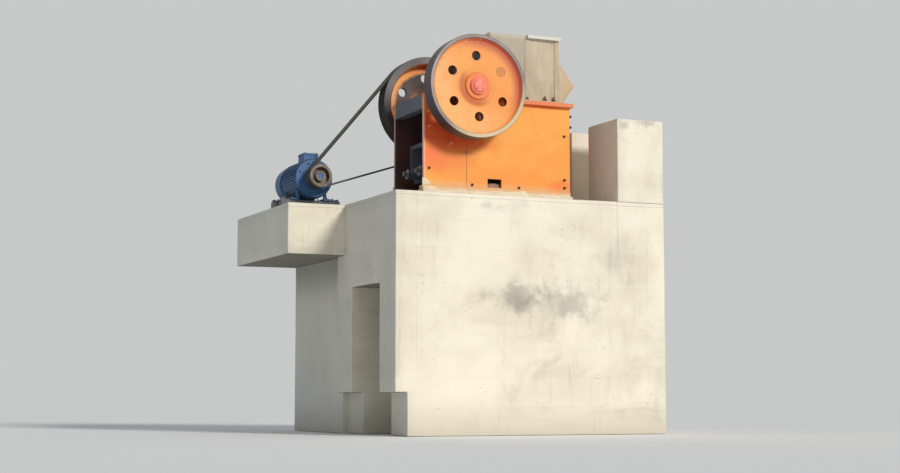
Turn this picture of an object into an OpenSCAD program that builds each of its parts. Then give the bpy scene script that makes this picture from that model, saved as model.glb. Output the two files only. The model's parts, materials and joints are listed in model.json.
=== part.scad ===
// Jaw crusher on its cast concrete foundation, with its feed hopper and belt drive.
// X runs along the crusher to its feed end, Y across it from the near side, Z up.
// Each piece is drawn from the foundation's discharge end, near face and foot,
// and then set down with the middle of the whole footprint on the origin.

/* [Foundation] */
// Length of the foundation along the crusher
found_l = 4280; // [4220:10:4600]
// Width of the foundation across the crusher
found_w = 2295; // [2290:5:2600]
// Height of the foundation's deck above the ground
found_h = 3380; // [2600:20:4200]
// Thickness of the two long walls
wall_t = 600; // [450:10:650]
// Thickness of the wall that closes the feed end
end_wall_t = 600; // [300:10:800]
// Depth of the head beams that carry the crusher
head_h = 1250; // [900:10:1500]
// Step by which the foot of the long walls stands back at the discharge end
foot_step = 180; // [0:10:300]
// Height of that stepped-back foot
foot_step_h = 600; // [300:20:900]
// Length of the discharge opening through the deck
outlet_l = 1800; // [1400:10:1900]
// Width of the discharge opening through the deck
outlet_w = 800; // [700:10:800]
// Length of each feeder pier along the crusher
pier_l = 780; // [500:10:800]
// Width of each feeder pier across the crusher
pier_w = 890; // [600:10:960]
// Height of each feeder pier above the deck
pier_h = 1235; // [800:5:1500]

/* [Motor platform] */
// Reach of the platform past the foundation's discharge end
plat_out = 890; // [890:10:1200]
// Length by which the platform laps the foundation's discharge end
plat_lap = 310; // [200:10:500]
// Reach of the platform past the foundation's far face
plat_far = 2270; // [1900:10:3000]
// Thickness of the platform slab
plat_t = 760; // [400:10:900]
// Thickness of the wall under the platform
plat_wall_t = 760; // [500:10:900]
// Set-back of that wall from the foundation's discharge end
plat_wall_in = 100; // [0:10:300]

/* [Crusher frame] */
// Distance from the foundation's discharge end to the frame
frame_x = 665; // [500:5:700]
// Length of the frame
frame_l = 2360; // [2320:10:2450]
// Width of the frame over its side plates
frame_w = 1125; // [1100:5:1240]
// Height of the mortar beds that the frame stands on
bed_h = 120; // [60:10:200]
// Height of the frame above its beds
frame_h = 1375; // [1340:5:1420]
// Thickness of the side plates
plate_t = 50; // [30:5:60]
// Thickness of the top flanges
flange_t = 60; // [40:5:70]
// Width by which the top flanges stand out from the side plates
flange_out = 70; // [30:5:100]
// Thickness of the foot plates
foot_t = 50; // [30:5:60]
// Width of the foot plates
foot_w = 180; // [150:5:180]
// Length of the inspection window in each side plate
window_l = 220; // [120:10:300]
// Height of the inspection window in each side plate
window_h = 165; // [100:5:200]
// Depth of the cross beam at the rear top of the frame
cross_h = 220; // [120:10:300]
// Thickness of the front wall's main plate
front_t = 60; // [40:5:80]
// Depth of the front wall with its ribs
front_depth = 210; // [150:5:260]
// Number of ribs across the front wall
front_ribs = 5; // [3:1:7]

/* [Jaws] */
// Opening between the jaws at the top
gape = 600; // [560:10:640]
// Opening between the jaws at the bottom
outlet = 110; // [80:5:160]
// Clearance between a jaw plate and the cheek plate on either side of it
jaw_play = 2.5; // [2:0.5:8]
// Thickness of the jaw plates behind their teeth
jaw_t = 65; // [50:5:80]
// Height of the teeth on the jaw plates
tooth_h = 45; // [30:5:55]
// Number of teeth on each jaw plate
teeth = 10; // [8:1:14]
// Thickness of the cheek plates
cheek_t = 45; // [30:5:45]
// Radius of the swing jaw's head
head_r = 300; // [280:5:320]
// Thickness of the swing jaw's front slab
slab_t = 80; // [60:5:100]
// Thickness of the ribs of the swing jaw
rib_t = 45; // [30:5:60]

/* [Toggle and tension rods] */
// Thickness of the toggle plate
toggle_t = 60; // [40:5:70]
// Depth of the toggle beam along the frame
beam_l = 400; // [300:10:420]
// Height of the toggle beam
beam_h = 400; // [300:10:440]
// Diameter of the tension rods
rod_d = 40; // [30:2:50]
// Distance between the two tension rods
rod_gap = 460; // [300:10:600]
// Outer diameter of the tension springs
spring_d = 130; // [110:5:150]
// Thickness of the springs' wire
wire_d = 24; // [16:1:28]
// Number of coils in each spring
coils = 5; // [3:1:6]

/* [Shaft and wheels] */
// Distance of the shaft from the frame's rear end
shaft_in = 665; // [640:5:690]
// Height of the shaft above the frame's beds
shaft_h = 1450; // [1430:5:1500]
// Diameter of the shaft in the wheels
shaft_d = 170; // [150:2:176]
// Diameter of the shaft in the bearings
journal_d = 200; // [180:2:220]
// Diameter of the shaft in the swing jaw
crank_d = 260; // [240:2:280]
// Outer diameter of the bearing housings
housing_d = 400; // [380:5:420]
// Diameter of the flywheel and of the grooved wheel
wheel_d = 1500; // [1400:10:1500]
// Width of the wheels' rims
wheel_w = 250; // [240:5:260]
// Gap between each wheel's rim and the side plate
wheel_gap = 190; // [180:5:200]
// Diameter of the wheels' hubs
hub_d = 390; // [340:5:420]
// Diameter of the round covers on the shaft's ends
cover_d = 250; // [210:5:280]
// Number of lightening holes in each wheel
wheel_holes = 6; // [4:1:8]
// Diameter of the lightening holes
hole_d = 135; // [100:5:150]
// Distance of the lightening holes from the shaft
hole_ring = 440; // [400:5:460]
// Angle by which the holes are turned back from upright
hole_turn = 3; // [0:1:30]
// Which of the flywheel's holes is left as a closed boss, counted clockwise from the top
closed_hole = 1; // [0:1:5]

/* [Belt drive] */
// Number of V-belts
belts = 5; // [3:1:5]
// Distance from one belt to the next
belt_pitch = 46; // [44:1:50]
// Depth of the grooves
groove_h = 34; // [30:1:36]
// Width of the grooves at the rim
groove_w = 38; // [36:1:40]
// Diameter of the motor's pulley
motor_pulley_d = 340; // [300:10:400]
// Distance of the motor's shaft from the foundation's discharge end
motor_out = 410; // [380:5:450]
// Diameter of the motor's body
motor_d = 600; // [520:5:610]
// Length of the motor's body
motor_l = 820; // [760:10:900]
// Number of cooling ribs round the motor's body
motor_ribs = 40; // [24:4:48]
// Height of those cooling ribs
motor_rib_h = 32; // [16:2:36]
// Height of the motor's shaft above its rails
motor_h = 315; // [310:5:330]
// Height of the slide rails
rail_h = 85; // [60:5:120]

/* [Feed hopper] */
// Thickness of the hopper's sheets
sheet_t = 14; // [8:1:20]
// Height of the hopper above the frame
hopper_h = 980; // [700:10:1100]
// Length of the hopper at its foot
hopper_l = 940; // [880:10:960]
// Reach of the lip that flares out at the feed end
lip_out = 195; // [100:5:220]
// Height of that lip
lip_h = 280; // [150:10:320]
// Height above the frame at which the flare meets the side sheets' upright edges
flare_h = 625; // [400:5:700]
// Thickness of the angle bars on the hopper's sheets
bar_t = 12; // [8:1:16]
// Width of those angle bars
bar_w = 60; // [40:5:70]

/* [Hidden] */
$fn = 96;

// Running clearance of a shaft in its bearing
run_gap = 0.08;
// Clearance between a piece and the seat that carries it
seat_gap = 0.3;
// Clearance between a moving piece and a still one
move_gap = 5;

mid_x = (found_l - plat_out) / 2;
mid_y = (found_w + plat_far) / 2;
centre_y = found_w / 2;
deck = found_h;
head_z = found_h - head_h;

frame_end = frame_x + frame_l;
out_y = centre_y - frame_w / 2;
in_y = out_y + plate_t;
in_w = frame_w - 2 * plate_t;
base = deck + bed_h;
frame_top = base + frame_h;
plate_top = frame_top - flange_t;

shaft_x = frame_x + shaft_in;
shaft_z = base + shaft_h;
wheel_r = wheel_d / 2;
wheel_y = out_y - wheel_gap - wheel_w;
// Length by which a wheel's hub stands out past its rim on the inside
hub_over = 50;
// Depth of the hub's and the web's outer faces behind the rim's, and thickness of the web
hub_y = 12;
web_y = 38;
web_t = 70;
// Thickness of the flywheel's rim, and of the grooved wheel's under its grooves
rim_t = 60;
groove_rim_t = 110;
// Size of the arrises that are turned off the castings
arris = 8;
// Length by which the shaft runs past the hubs, its bearings and the swing jaw
shaft_past = 32;
journal_past = 15;
crank_past = 10;
// Length of each round cover on the shaft's ends
cover_l = 70;

// Distance of the deck's outlet from the frame's rear end
outlet_in = 290;
outlet_x = frame_x + outlet_in;
// Width by which the feet stand out from the side plates, and the beds from the feet
foot_over = 20;
bed_over = 35;
// Place of the inspection window in front of the shaft, and its height above the foot's underside
window_in = 345;
window_up = 20;
// Length by which the top flanges run past the frame's feed end
flange_past = 35;

// Bearing housings: length outside and inside the side plate, flange, and bolted ears
housing_out = 120;
housing_in = 50;
housing_lip = 30;
lip_t = 30;
ear_l = 330;
ear_t = 60;
ear_out = 40;
ear_in = 10;
ear_slope = 30;
ear_rib_t = 24;
grease_boss_d = 60;
grease_boss_h = 24;

// Rear cross beam: length along the frame and thickness of its walls
cross_l = 140;
cross_wall = 36;
// Front wall: thickness of its level ribs, and number and thickness of its upright ones
front_rib_t = 40;
front_posts = 2;
front_post_t = 36;

fixed_x = frame_end - front_depth;
fixed_face = fixed_x - jaw_t - tooth_h;
jaw_w = in_w - 2 * (cheek_t + jaw_play);
// Height of the jaw plates' feet above the beds, and of the frame above their heads
jaw_low = 120;
jaw_high = frame_h - 40;
jaw_lean = atan((gape - outlet) / (jaw_high - jaw_low));
jaw_len = (jaw_high - jaw_low) / cos(jaw_lean);
jaw_foot_x = fixed_face - outlet;
jaw_back = jaw_t + tooth_h;
slab_back = jaw_back + slab_t;
// Share of a tooth's pitch that is flat at its tip, and at its root
tooth_tip = 0.32;
tooth_root = 0.12;

// Width of the swing jaw, which runs between the bearing housings
jaw_side = 20;
swing_w = in_w - 2 * (housing_in + jaw_side);
swing_y = centre_y - swing_w / 2;
jaw_ribs = 4;
jaw_webs = 2;
// Length by which the pieces of a casting run into each other
sunk = 10;
// Height to which the slab's heel is cut away, clear of the frame's foot
jaw_heel = 30;
// Height of the wedge bar that clamps the jaw plate's head, and its set-back behind the tooth tips
wedge_h = 70;
wedge_in = 30;
// Thickness of the neck between the head and the slab
neck_t = 95;
// Depth of the recess in each end of the head, and the thickness of its rim
head_recess = 24;
head_rim = 45;

// Distance of the toggle's front seat behind the swing jaw's slab, and up along it
toggle_stand = 186;
toggle_up = 378;
// Distance of the toggle's rear seat from the frame's rear end, and its height above the beds
toggle_in = 760;
toggle_rise = 560;
toggle_rear = [frame_x + toggle_in, base + toggle_rise];
toggle_front = on_jaw(-slab_back - toggle_stand, toggle_up);
// Height of the swing jaw's toggle block above and below its seat
block_up = 130;
block_down = 100;
block_half = 70;
// Where the toggle block meets the slab, from the slab's foot up
block_foot = 90;
block_head = 330;
// Depth of the bead's web below the bead, and the toggle plate's set-back from the jaw's sides
bead_h = 7;
toggle_side = 40;
seat_r = toggle_t / 2 + seat_gap;
seat_l = 120;
seat_h = 220;
seat_side = 60;
shims = 3;
shim_t = 12;
shim_over = 15;
beam_x = toggle_rear[0] - seat_l - beam_l;
beam_z = toggle_rear[1] - beam_h / 2;
// Thickness of the toggle beam's walls
beam_wall = 60;

// The tension rods run from an eye under the swing jaw's toggle seat up to the frame's rear
rod_low = 165;
rod_high = 300;
rod_in = 10;
rod_front = [toggle_front[0] + 40, base + rod_low];
rod_rear = [frame_x + rod_in, base + rod_high];
rod_run = rod_front - rod_rear;
rod_fall = -atan2(rod_run[1], rod_run[0]);
nut_start = 24;
nut_t = 36;
lock_t = 18;
nut_w = rod_d * 1.9;
washer_t = 14;
spring_start = nut_start + nut_t + washer_t;
spring_l = 220;
bracket_t = 30;
// Depth of the spring bracket below the rods, and its height over the springs
bracket_low = 80;
bracket_up = 40;
// Gap that is left for the weld beside the spring bracket
weld_gap = 6;
pin_d = 34;
pin_over = 6;
eye_d = 80;
eye_w = 44;
eye_play = 1;
lug_t = 24;
lug_over = 5;
lug_h = 130;

motor_z = deck + rail_h + motor_h;
pulley_y = 2 * centre_y - wheel_y - wheel_w;
// Distance from the motor's pulley to its drive end
motor_gap = 60;
motor_y = pulley_y + wheel_w + motor_gap;
motor_shaft_d = 90;
// Motor: drive-end shield, end rings, feet, cable box and lifting eye
shield_d = 372;
shield_l = 40;
ring_l = 45;
rib_w = 9;
motor_foot_x = 254;
motor_foot_w = 120;
motor_foot_l = 560;
motor_foot_t = 30;
motor_foot_y = 120;
motor_leg_t = 40;
motor_leg_h = 200;
cable_box = [220, 260, 160];
cable_box_y = 160;
cable_lid = 16;
lift_eye_d = 90;
lift_wire_d = 26;
cowl_d = motor_d * 0.94;
cowl_l = 190;
cowl_wall = 8;
cowl_rings = 6;
cowl_slot = 15;
cowl_web = 16;

// Slide rails: half length, width, slot, and the screws that push the motor along them
rail_half = 460;
rail_w = 120;
rail_slot = 30;
rail_end = 70;
rail_inset = 30;
screw_d = 24;
screw_h = 16;
screw_block = [30, 70, 34];

flank = 0.25;
belt_top = 4;
belt_low = 20;

// Hopper: its foot's place, the lean of its rear sheet, and its bars
hopper_in = 120;
hopper_end = frame_end - hopper_in;
hopper_start = hopper_end - hopper_l;
hopper_top = frame_top + hopper_h;
rear_lean = 250;
rear_gap = 20;
rear_bars = 3;
lip_x = hopper_end + lip_out;
flare_t = 18;
// Distance of the side sheets' upright edges behind the hopper's foot at the feed end
edge_in = 45;
// Distance from the hopper's foot to the seam between its side sheets
seam_in = 595;

// A point of the swing jaw, from its distance in front of the tooth tips and up along them
function on_jaw(out, up) = [
    jaw_foot_x + out * cos(jaw_lean) - up * sin(jaw_lean),
    base + jaw_low + out * sin(jaw_lean) + up * cos(jaw_lean)
];

// Where the lugs for the tension rods start across the swing jaw, two for each rod
function rod_lugs() = [
    for (side = [-1, 1]) for (start = [-eye_w / 2 - eye_play - lug_t, eye_w / 2 + eye_play])
        centre_y + side * rod_gap / 2 + start
];

// Where the swing jaw's ribs end behind, at a height along the slab
function rib_back(up) = let (
    foot = toggle_up + block_up * cos(jaw_lean),
    foot_out = -slab_back - toggle_stand + block_up * sin(jaw_lean) - sunk,
    head = (jaw_foot_x - shaft_x) * sin(jaw_lean) + (shaft_z - base - jaw_low) * cos(jaw_lean),
    head_out = -(jaw_foot_x - shaft_x) * cos(jaw_lean) + (shaft_z - base - jaw_low) * sin(jaw_lean)
) foot_out + (head_out + head_r / 2 - foot_out) * (up - foot) / (head - foot);

// Sets a piece down in the frame of the whole object
module set_down() {
    translate([-mid_x, -mid_y, 0]) children();
}

// Turns a near-side piece into its far-side twin
module across() {
    translate([0, 2 * centre_y, 0]) mirror([0, 1, 0]) children();
}

// Draws a side view, with Z up the page, from y0 across a width
module along_y(y0, width) {
    translate([0, y0 + width, 0]) rotate([90, 0, 0]) linear_extrude(width) children();
}

// A round bar across the crusher
module cross_bar(x, z, y0, length, d) {
    translate([x, y0, z]) rotate([-90, 0, 0]) cylinder(h = length, d = d);
}

module long_wall() {
    along_y(0, wall_t) polygon([
        [foot_step, 0], [found_l, 0], [found_l, head_z], [0, head_z],
        [0, foot_step_h], [foot_step, foot_step_h]
    ]);
}

module near_wall() {
    color("lightgray") set_down() long_wall();
}

module far_wall() {
    color("lightgray") set_down() across() long_wall();
}

module end_wall() {
    color("lightgray") set_down()
        translate([found_l - end_wall_t, wall_t, 0]) cube([end_wall_t, found_w - 2 * wall_t, head_z]);
}

module long_head_beam() {
    translate([0, 0, head_z]) cube([found_l, (found_w - outlet_w) / 2, head_h]);
}

module near_head_beam() {
    color("lightgray") set_down() long_head_beam();
}

module far_head_beam() {
    color("lightgray") set_down() across() long_head_beam();
}

module rear_head_beam() {
    color("lightgray") set_down()
        translate([0, centre_y - outlet_w / 2, head_z]) cube([outlet_x, outlet_w, head_h]);
}

module feed_head_beam() {
    beam_start = outlet_x + outlet_l;
    color("lightgray") set_down()
        translate([beam_start, centre_y - outlet_w / 2, head_z])
            cube([found_l - beam_start, outlet_w, head_h]);
}

module feeder_pier() {
    translate([found_l - pier_l, 0, deck]) cube([pier_l, pier_w, pier_h]);
}

module near_feeder_pier() {
    color("lightgray") set_down() feeder_pier();
}

module far_feeder_pier() {
    color("lightgray") set_down() across() feeder_pier();
}

module motor_platform() {
    wall_end = plat_wall_in + plat_wall_t;
    color("lightgray") set_down() translate([0, 0, deck - plat_t]) linear_extrude(plat_t)
        polygon([
            [-plat_out, found_w - plat_lap], [0, found_w - plat_lap], [0, found_w],
            [wall_end, found_w], [wall_end, found_w + plat_far], [-plat_out, found_w + plat_far]
        ]);
}

module motor_wall() {
    color("lightgray") set_down()
        translate([plat_wall_in, found_w, 0]) cube([plat_wall_t, plat_far, deck - plat_t]);
}

// A strip of mortar, poured round the frame's foot
module mortar_bed() {
    translate([frame_x - bed_over, out_y - foot_over - bed_over, deck])
        cube([frame_l + 2 * bed_over, foot_w + bed_over, bed_h]);
}

module near_mortar_bed() {
    color("wheat") set_down() mortar_bed();
}

module far_mortar_bed() {
    color("wheat") set_down() across() mortar_bed();
}

// The side plate stands on its welded foot and rises to a round saddle for its bearing housing
module side_plate() {
    translate([frame_x, out_y - foot_over, base]) cube([frame_l, foot_w, foot_t]);
    along_y(out_y, plate_t) difference() {
        polygon([
            [frame_x, base + foot_t / 2], [frame_end, base + foot_t / 2], [frame_end, plate_top],
            [shaft_x + ear_l + ear_slope, plate_top], [shaft_x + ear_l, shaft_z],
            [shaft_x - ear_l, shaft_z], [shaft_x - ear_l - ear_slope, plate_top], [frame_x, plate_top]
        ]);
        translate([shaft_x, shaft_z]) circle(housing_d / 2 + seat_gap);
        translate([shaft_x + window_in, base + window_up]) square([window_l, window_h]);
    }
}

module near_side_plate() {
    color("darkorange") set_down() side_plate();
}

module far_side_plate() {
    color("darkorange") set_down() across() side_plate();
}

// Two lengths of flange, in front of the bearing and behind it
module top_flange() {
    front_x = shaft_x + ear_l + ear_slope;
    rear_l = shaft_x - ear_l - ear_slope - frame_x;
    translate([front_x, out_y - flange_out, plate_top])
        cube([frame_end + flange_past - front_x, flange_out + plate_t, flange_t]);
    translate([frame_x, out_y - flange_out, plate_top])
        cube([rear_l, flange_out + plate_t, flange_t]);
}

module near_top_flange() {
    color("darkorange") set_down() top_flange();
}

module far_top_flange() {
    color("darkorange") set_down() across() top_flange();
}

// A welded wall: its plate takes the fixed jaw, and its level and upright ribs hold it up
module front_wall() {
    step = (frame_h - foot_t - front_rib_t) / (front_ribs - 1);
    post_step = in_w / (front_posts + 1);
    color("darkorange") set_down() {
        translate([fixed_x, in_y, base + foot_t]) cube([front_t, in_w, frame_h - foot_t]);
        for (i = [0 : front_ribs - 1])
            translate([fixed_x, in_y, base + foot_t + i * step]) cube([front_depth, in_w, front_rib_t]);
        for (i = [1 : front_posts])
            translate([fixed_x, in_y + i * post_step - front_post_t / 2, base + foot_t])
                cube([front_depth - sunk, front_post_t, frame_h - foot_t]);
    }
}

// A channel that ties the side plates together, with its back to the rear
module rear_cross_beam() {
    color("gray") set_down() difference() {
        translate([frame_x, in_y, frame_top - cross_h]) cube([cross_l, in_w, cross_h]);
        translate([frame_x + cross_wall, in_y - 1, frame_top - cross_h + cross_wall])
            cube([cross_l, in_w + 2, cross_h - 2 * cross_wall]);
    }
}

// A box beam behind the toggle, with the bracket that the tension springs push against
module toggle_beam() {
    pocket_w = (in_w - 3 * beam_wall) / 2;
    color("dimgray") set_down() difference() {
        union() {
            translate([beam_x, in_y, beam_z]) cube([beam_l, in_w, beam_h]);
            on_rods() translate([spring_start + spring_l, in_y + weld_gap, -bracket_low])
                cube([bracket_t, in_w - 2 * weld_gap, bracket_low + spring_d / 2 + bracket_up]);
        }
        for (i = [0, 1])
            translate([beam_x - 1, in_y + beam_wall + i * (pocket_w + beam_wall), beam_z + beam_wall])
                cube([beam_l - beam_wall + 1, pocket_w, beam_h - 2 * beam_wall]);
        each_rod() translate([spring_start + spring_l - 5, 0, 0])
            rotate([0, 90, 0]) cylinder(h = bracket_t + 10, d = rod_d + 2 * move_gap);
    }
}

module cheek_plate() {
    low = on_jaw(-jaw_back, 0);
    high = on_jaw(-jaw_back, jaw_len);
    along_y(in_y, cheek_t) polygon([
        [low[0], base + jaw_low], [fixed_face + tooth_h, base + jaw_low],
        [fixed_face + tooth_h, base + jaw_high], [high[0], base + jaw_high]
    ]);
}

module near_cheek_plate() {
    color("dimgray") set_down() cheek_plate();
}

module far_cheek_plate() {
    color("dimgray") set_down() across() cheek_plate();
}

// Plan of a toothed plate: its back at -jaw_back, its tooth tips at 0
module toothed_plan() {
    pitch = jaw_w / teeth;
    tip = pitch * tooth_tip;
    root = pitch * tooth_root;
    crest = [for (i = [0 : teeth - 1]) each [
        [-tooth_h, i * pitch + root / 2], [0, (i + 0.5) * pitch - tip / 2],
        [0, (i + 0.5) * pitch + tip / 2], [-tooth_h, (i + 1) * pitch - root / 2]
    ]];
    translate([0, -jaw_w / 2])
        polygon(concat([[-jaw_back, 0], [-tooth_h, 0]], crest, [[-tooth_h, jaw_w], [-jaw_back, jaw_w]]));
}

module fixed_jaw_plate() {
    color("slategray") set_down()
        translate([fixed_face, centre_y, base + jaw_low]) mirror([1, 0, 0])
            linear_extrude(jaw_high - jaw_low) toothed_plan();
}

module swing_jaw_plate() {
    color("slategray") set_down()
        translate([jaw_foot_x, centre_y, base + jaw_low]) rotate([0, -jaw_lean, 0])
            linear_extrude(jaw_len) toothed_plan();
}

// One rib of the swing jaw, seen from the side
module jaw_rib() {
    polygon([
        on_jaw(-jaw_back - sunk, sunk + jaw_heel), on_jaw(-jaw_back - sunk, jaw_len),
        [shaft_x + head_r / 4, shaft_z + head_r - 2 * sunk],
        [shaft_x - head_r / 2, shaft_z - head_r * 0.8],
        [toggle_front[0] - sunk, toggle_front[1] + block_up],
        [toggle_front[0] - sunk, toggle_front[1] - block_down]
    ]);
}

// A level web between the swing jaw's ribs, at a height along the slab
module jaw_web(up) {
    back = rib_back(up) + 2 * sunk;
    polygon([
        on_jaw(sunk - slab_back, up), on_jaw(sunk - slab_back, up + rib_t),
        on_jaw(back, up + rib_t), on_jaw(back, up)
    ]);
}

// The slab with the neck that joins it to the head, and the wedge bar over the jaw plate
module jaw_slab() {
    polygon([
        on_jaw(-jaw_back, 0), on_jaw(-jaw_back, jaw_len + seat_gap),
        on_jaw(-wedge_in, jaw_len + seat_gap), on_jaw(-wedge_in, jaw_len + wedge_h / 2),
        on_jaw(-jaw_back, jaw_len + wedge_h), on_jaw(-slab_back, jaw_len + wedge_h / 2),
        on_jaw(-slab_back, jaw_heel)
    ]);
    polygon([
        on_jaw(sunk - slab_back, jaw_len), on_jaw(sunk - slab_back, jaw_len - neck_t),
        [shaft_x + head_r * 0.6, shaft_z - head_r * 0.75], [shaft_x + head_r * 0.8, shaft_z - head_r * 0.4]
    ]);
}

// A ribbed casting: bored head, leaning front slab, ribs and webs behind it, the toggle's seat
module swing_jaw() {
    color("chocolate") set_down() difference() {
        union() {
            cross_bar(shaft_x, shaft_z, swing_y, swing_w, 2 * head_r);
            along_y(swing_y, swing_w) jaw_slab();
            for (i = [0 : jaw_ribs - 1])
                along_y(swing_y + i * (swing_w - rib_t) / (jaw_ribs - 1), rib_t) jaw_rib();
            for (i = [1 : jaw_webs])
                along_y(swing_y + sunk, swing_w - 2 * sunk)
                    jaw_web(toggle_up + block_up + i * (jaw_len - toggle_up) / (jaw_webs + 2));
            along_y(swing_y, swing_w) polygon([
                toggle_front + [0, block_half], toggle_front - [0, block_half],
                on_jaw(sunk - slab_back, block_foot), on_jaw(sunk - slab_back, block_head)
            ]);
            for (y = rod_lugs()) along_y(y, lug_t) {
                translate(rod_front) circle(d = eye_d + 2 * lug_over);
                polygon([
                    rod_front - [eye_d / 2, 0], rod_front + [eye_d / 2, 0],
                    rod_front + [eye_d, lug_h], toggle_front + [lug_over, -2 * sunk]
                ]);
            }
        }
        for (y = rod_lugs()) cross_bar(rod_front[0], rod_front[1], y - 1, lug_t + 2, pin_d + 2 * seat_gap);
        cross_bar(shaft_x, shaft_z, swing_y - 1, swing_w + 2, crank_d + 2 * run_gap);
        cross_bar(toggle_front[0], toggle_front[1], swing_y - 1, swing_w + 2, 2 * seat_r);
        for (y = [swing_y - 1, swing_y + swing_w - head_recess]) difference() {
            cross_bar(shaft_x, shaft_z, y, head_recess + 1, 2 * (head_r - head_rim));
            cross_bar(shaft_x, shaft_z, y - 1, head_recess + 3, crank_d + 2 * head_rim);
        }
    }
}

// The block that the toggle plate bears on, with its shims in front of the toggle beam
module toggle_seat() {
    block_x = beam_x + beam_l + shims * shim_t;
    seat_z = toggle_rear[1] - seat_h / 2;
    color("dimgray") set_down() difference() {
        union() {
            translate([block_x, in_y + seat_side, seat_z])
                cube([seat_l - shims * shim_t, in_w - 2 * seat_side, seat_h]);
            for (i = [0 : shims - 1]) let (over = i % 2 == 0 ? shim_over : 0)
                translate([beam_x + beam_l + i * shim_t, in_y + seat_side, seat_z - over])
                    cube([shim_t, in_w - 2 * seat_side, seat_h + 2 * over]);
        }
        cross_bar(toggle_rear[0], toggle_rear[1], in_y, in_w, 2 * seat_r);
    }
}

// A plate with a round bead along each end, which rocks in its seats
module toggle_plate() {
    run = toggle_front - toggle_rear;
    w = swing_w - 2 * toggle_side;
    web = toggle_t - 2 * bead_h;
    color("darkgray") set_down() along_y(centre_y - w / 2, w) {
        translate(toggle_rear) circle(d = toggle_t);
        translate(toggle_front) circle(d = toggle_t);
        translate(toggle_rear) rotate(atan2(run[1], run[0]))
            translate([0, -web / 2]) square([norm(run), web]);
    }
}

// Leans a piece to the slope of the tension rods, with X along them from their rear ends
module on_rods() {
    translate([rod_rear[0], 0, rod_rear[1]]) rotate([0, rod_fall, 0]) children();
}

module each_rod() {
    on_rods() for (side = [-1, 1]) translate([0, centre_y + side * rod_gap / 2, 0]) children();
}

// Two rods, each with its nuts and washer behind and a pinned eye in front
module tension_rods() {
    reach = norm(rod_run);
    color("gray") set_down() each_rod() {
        rotate([0, 90, 0]) cylinder(h = reach, d = rod_d);
        translate([nut_start - lock_t, 0, 0]) rotate([0, 90, 0]) cylinder(h = lock_t, d = nut_w, $fn = 6);
        translate([nut_start, 0, 0]) rotate([30, 0, 0]) rotate([0, 90, 0])
            cylinder(h = nut_t, d = nut_w, $fn = 6);
        translate([nut_start + nut_t, 0, 0]) rotate([0, 90, 0]) cylinder(h = washer_t, d = spring_d + 16);
        translate([reach, -eye_w / 2, 0]) rotate([-90, 0, 0]) cylinder(h = eye_w, d = eye_d);
        translate([reach, -eye_w / 2 - lug_t - pin_over, 0]) rotate([-90, 0, 0])
            cylinder(h = eye_w + 2 * (lug_t + pin_over), d = pin_d);
    }
}

// Points round each quarter of the wire, and cuts along each coil
wire_steps = 4;
coil_steps = 12;

// A level cut through one turn of wire, whose length follows the coil's slope
function wire_cut() = let (
    ring_r = (spring_d - wire_d) / 2,
    half = 360 * wire_d * coils / spring_l / 2,
    steps = wire_steps
) [
    for (i = [-steps : steps]) let (t = i / steps, r = ring_r + wire_d / 2 * sqrt(1 - t * t))
        [r * cos(t * half), r * sin(t * half)],
    for (i = [1 - steps : steps - 1]) let (t = -i / steps, r = ring_r - wire_d / 2 * sqrt(1 - t * t))
        [r * cos(t * half), r * sin(t * half)]
];

// Coils of wire between two closed ends that are ground flat
module tension_springs() {
    color("slateblue") set_down() each_rod() {
        translate([spring_start, 0, 0]) rotate([0, 90, 0]) {
            linear_extrude(spring_l, twist = -360 * coils, slices = coil_steps * coils, $fn = 4 * wire_steps)
                polygon(wire_cut());
            for (z = [0, spring_l - wire_d / 2]) translate([0, 0, z]) difference() {
                cylinder(h = wire_d / 2, d = spring_d);
                translate([0, 0, -1]) cylinder(h = wire_d / 2 + 2, d = spring_d - 2 * wire_d);
            }
        }
    }
}

// A round chest in the side plate's saddle, with ribbed ears that bolt down beside it
module bearing_housing() {
    length = housing_out + plate_t + housing_in;
    y0 = out_y - housing_out;
    rib_y = out_y + (plate_t - ear_rib_t) / 2;
    color("darkorange") difference() {
        union() {
            cross_bar(shaft_x, shaft_z, y0, length, housing_d);
            cross_bar(shaft_x, shaft_z, y0, lip_t, housing_d + 2 * housing_lip);
            translate([shaft_x - ear_l, out_y - ear_out, shaft_z])
                cube([2 * ear_l, ear_out + plate_t + ear_in, ear_t]);
            along_y(rib_y, ear_rib_t) polygon([
                [shaft_x - ear_l + ear_t / 2, shaft_z + ear_t - 1],
                [shaft_x + ear_l - ear_t / 2, shaft_z + ear_t - 1],
                [shaft_x + housing_d * 0.3, shaft_z + housing_d * 0.42],
                [shaft_x - housing_d * 0.3, shaft_z + housing_d * 0.42]
            ]);
            translate([shaft_x, out_y, shaft_z])
                cylinder(h = housing_d / 2 + grease_boss_h, d = grease_boss_d);
        }
        cross_bar(shaft_x, shaft_z, y0 - 1, length + 2, journal_d + 2 * run_gap);
    }
}

module near_bearing_housing() {
    set_down() bearing_housing();
}

module far_bearing_housing() {
    set_down() across() bearing_housing();
}

module eccentric_shaft() {
    y0 = wheel_y + hub_y - shaft_past;
    journal_y = out_y - housing_out - journal_past;
    crank_y = swing_y - crank_past;
    color("silver") set_down() {
        cross_bar(shaft_x, shaft_z, y0, 2 * (centre_y - y0), shaft_d);
        cross_bar(shaft_x, shaft_z, journal_y, 2 * (centre_y - journal_y), journal_d);
        cross_bar(shaft_x, shaft_z, crank_y, 2 * (centre_y - crank_y), crank_d);
    }
}

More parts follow.
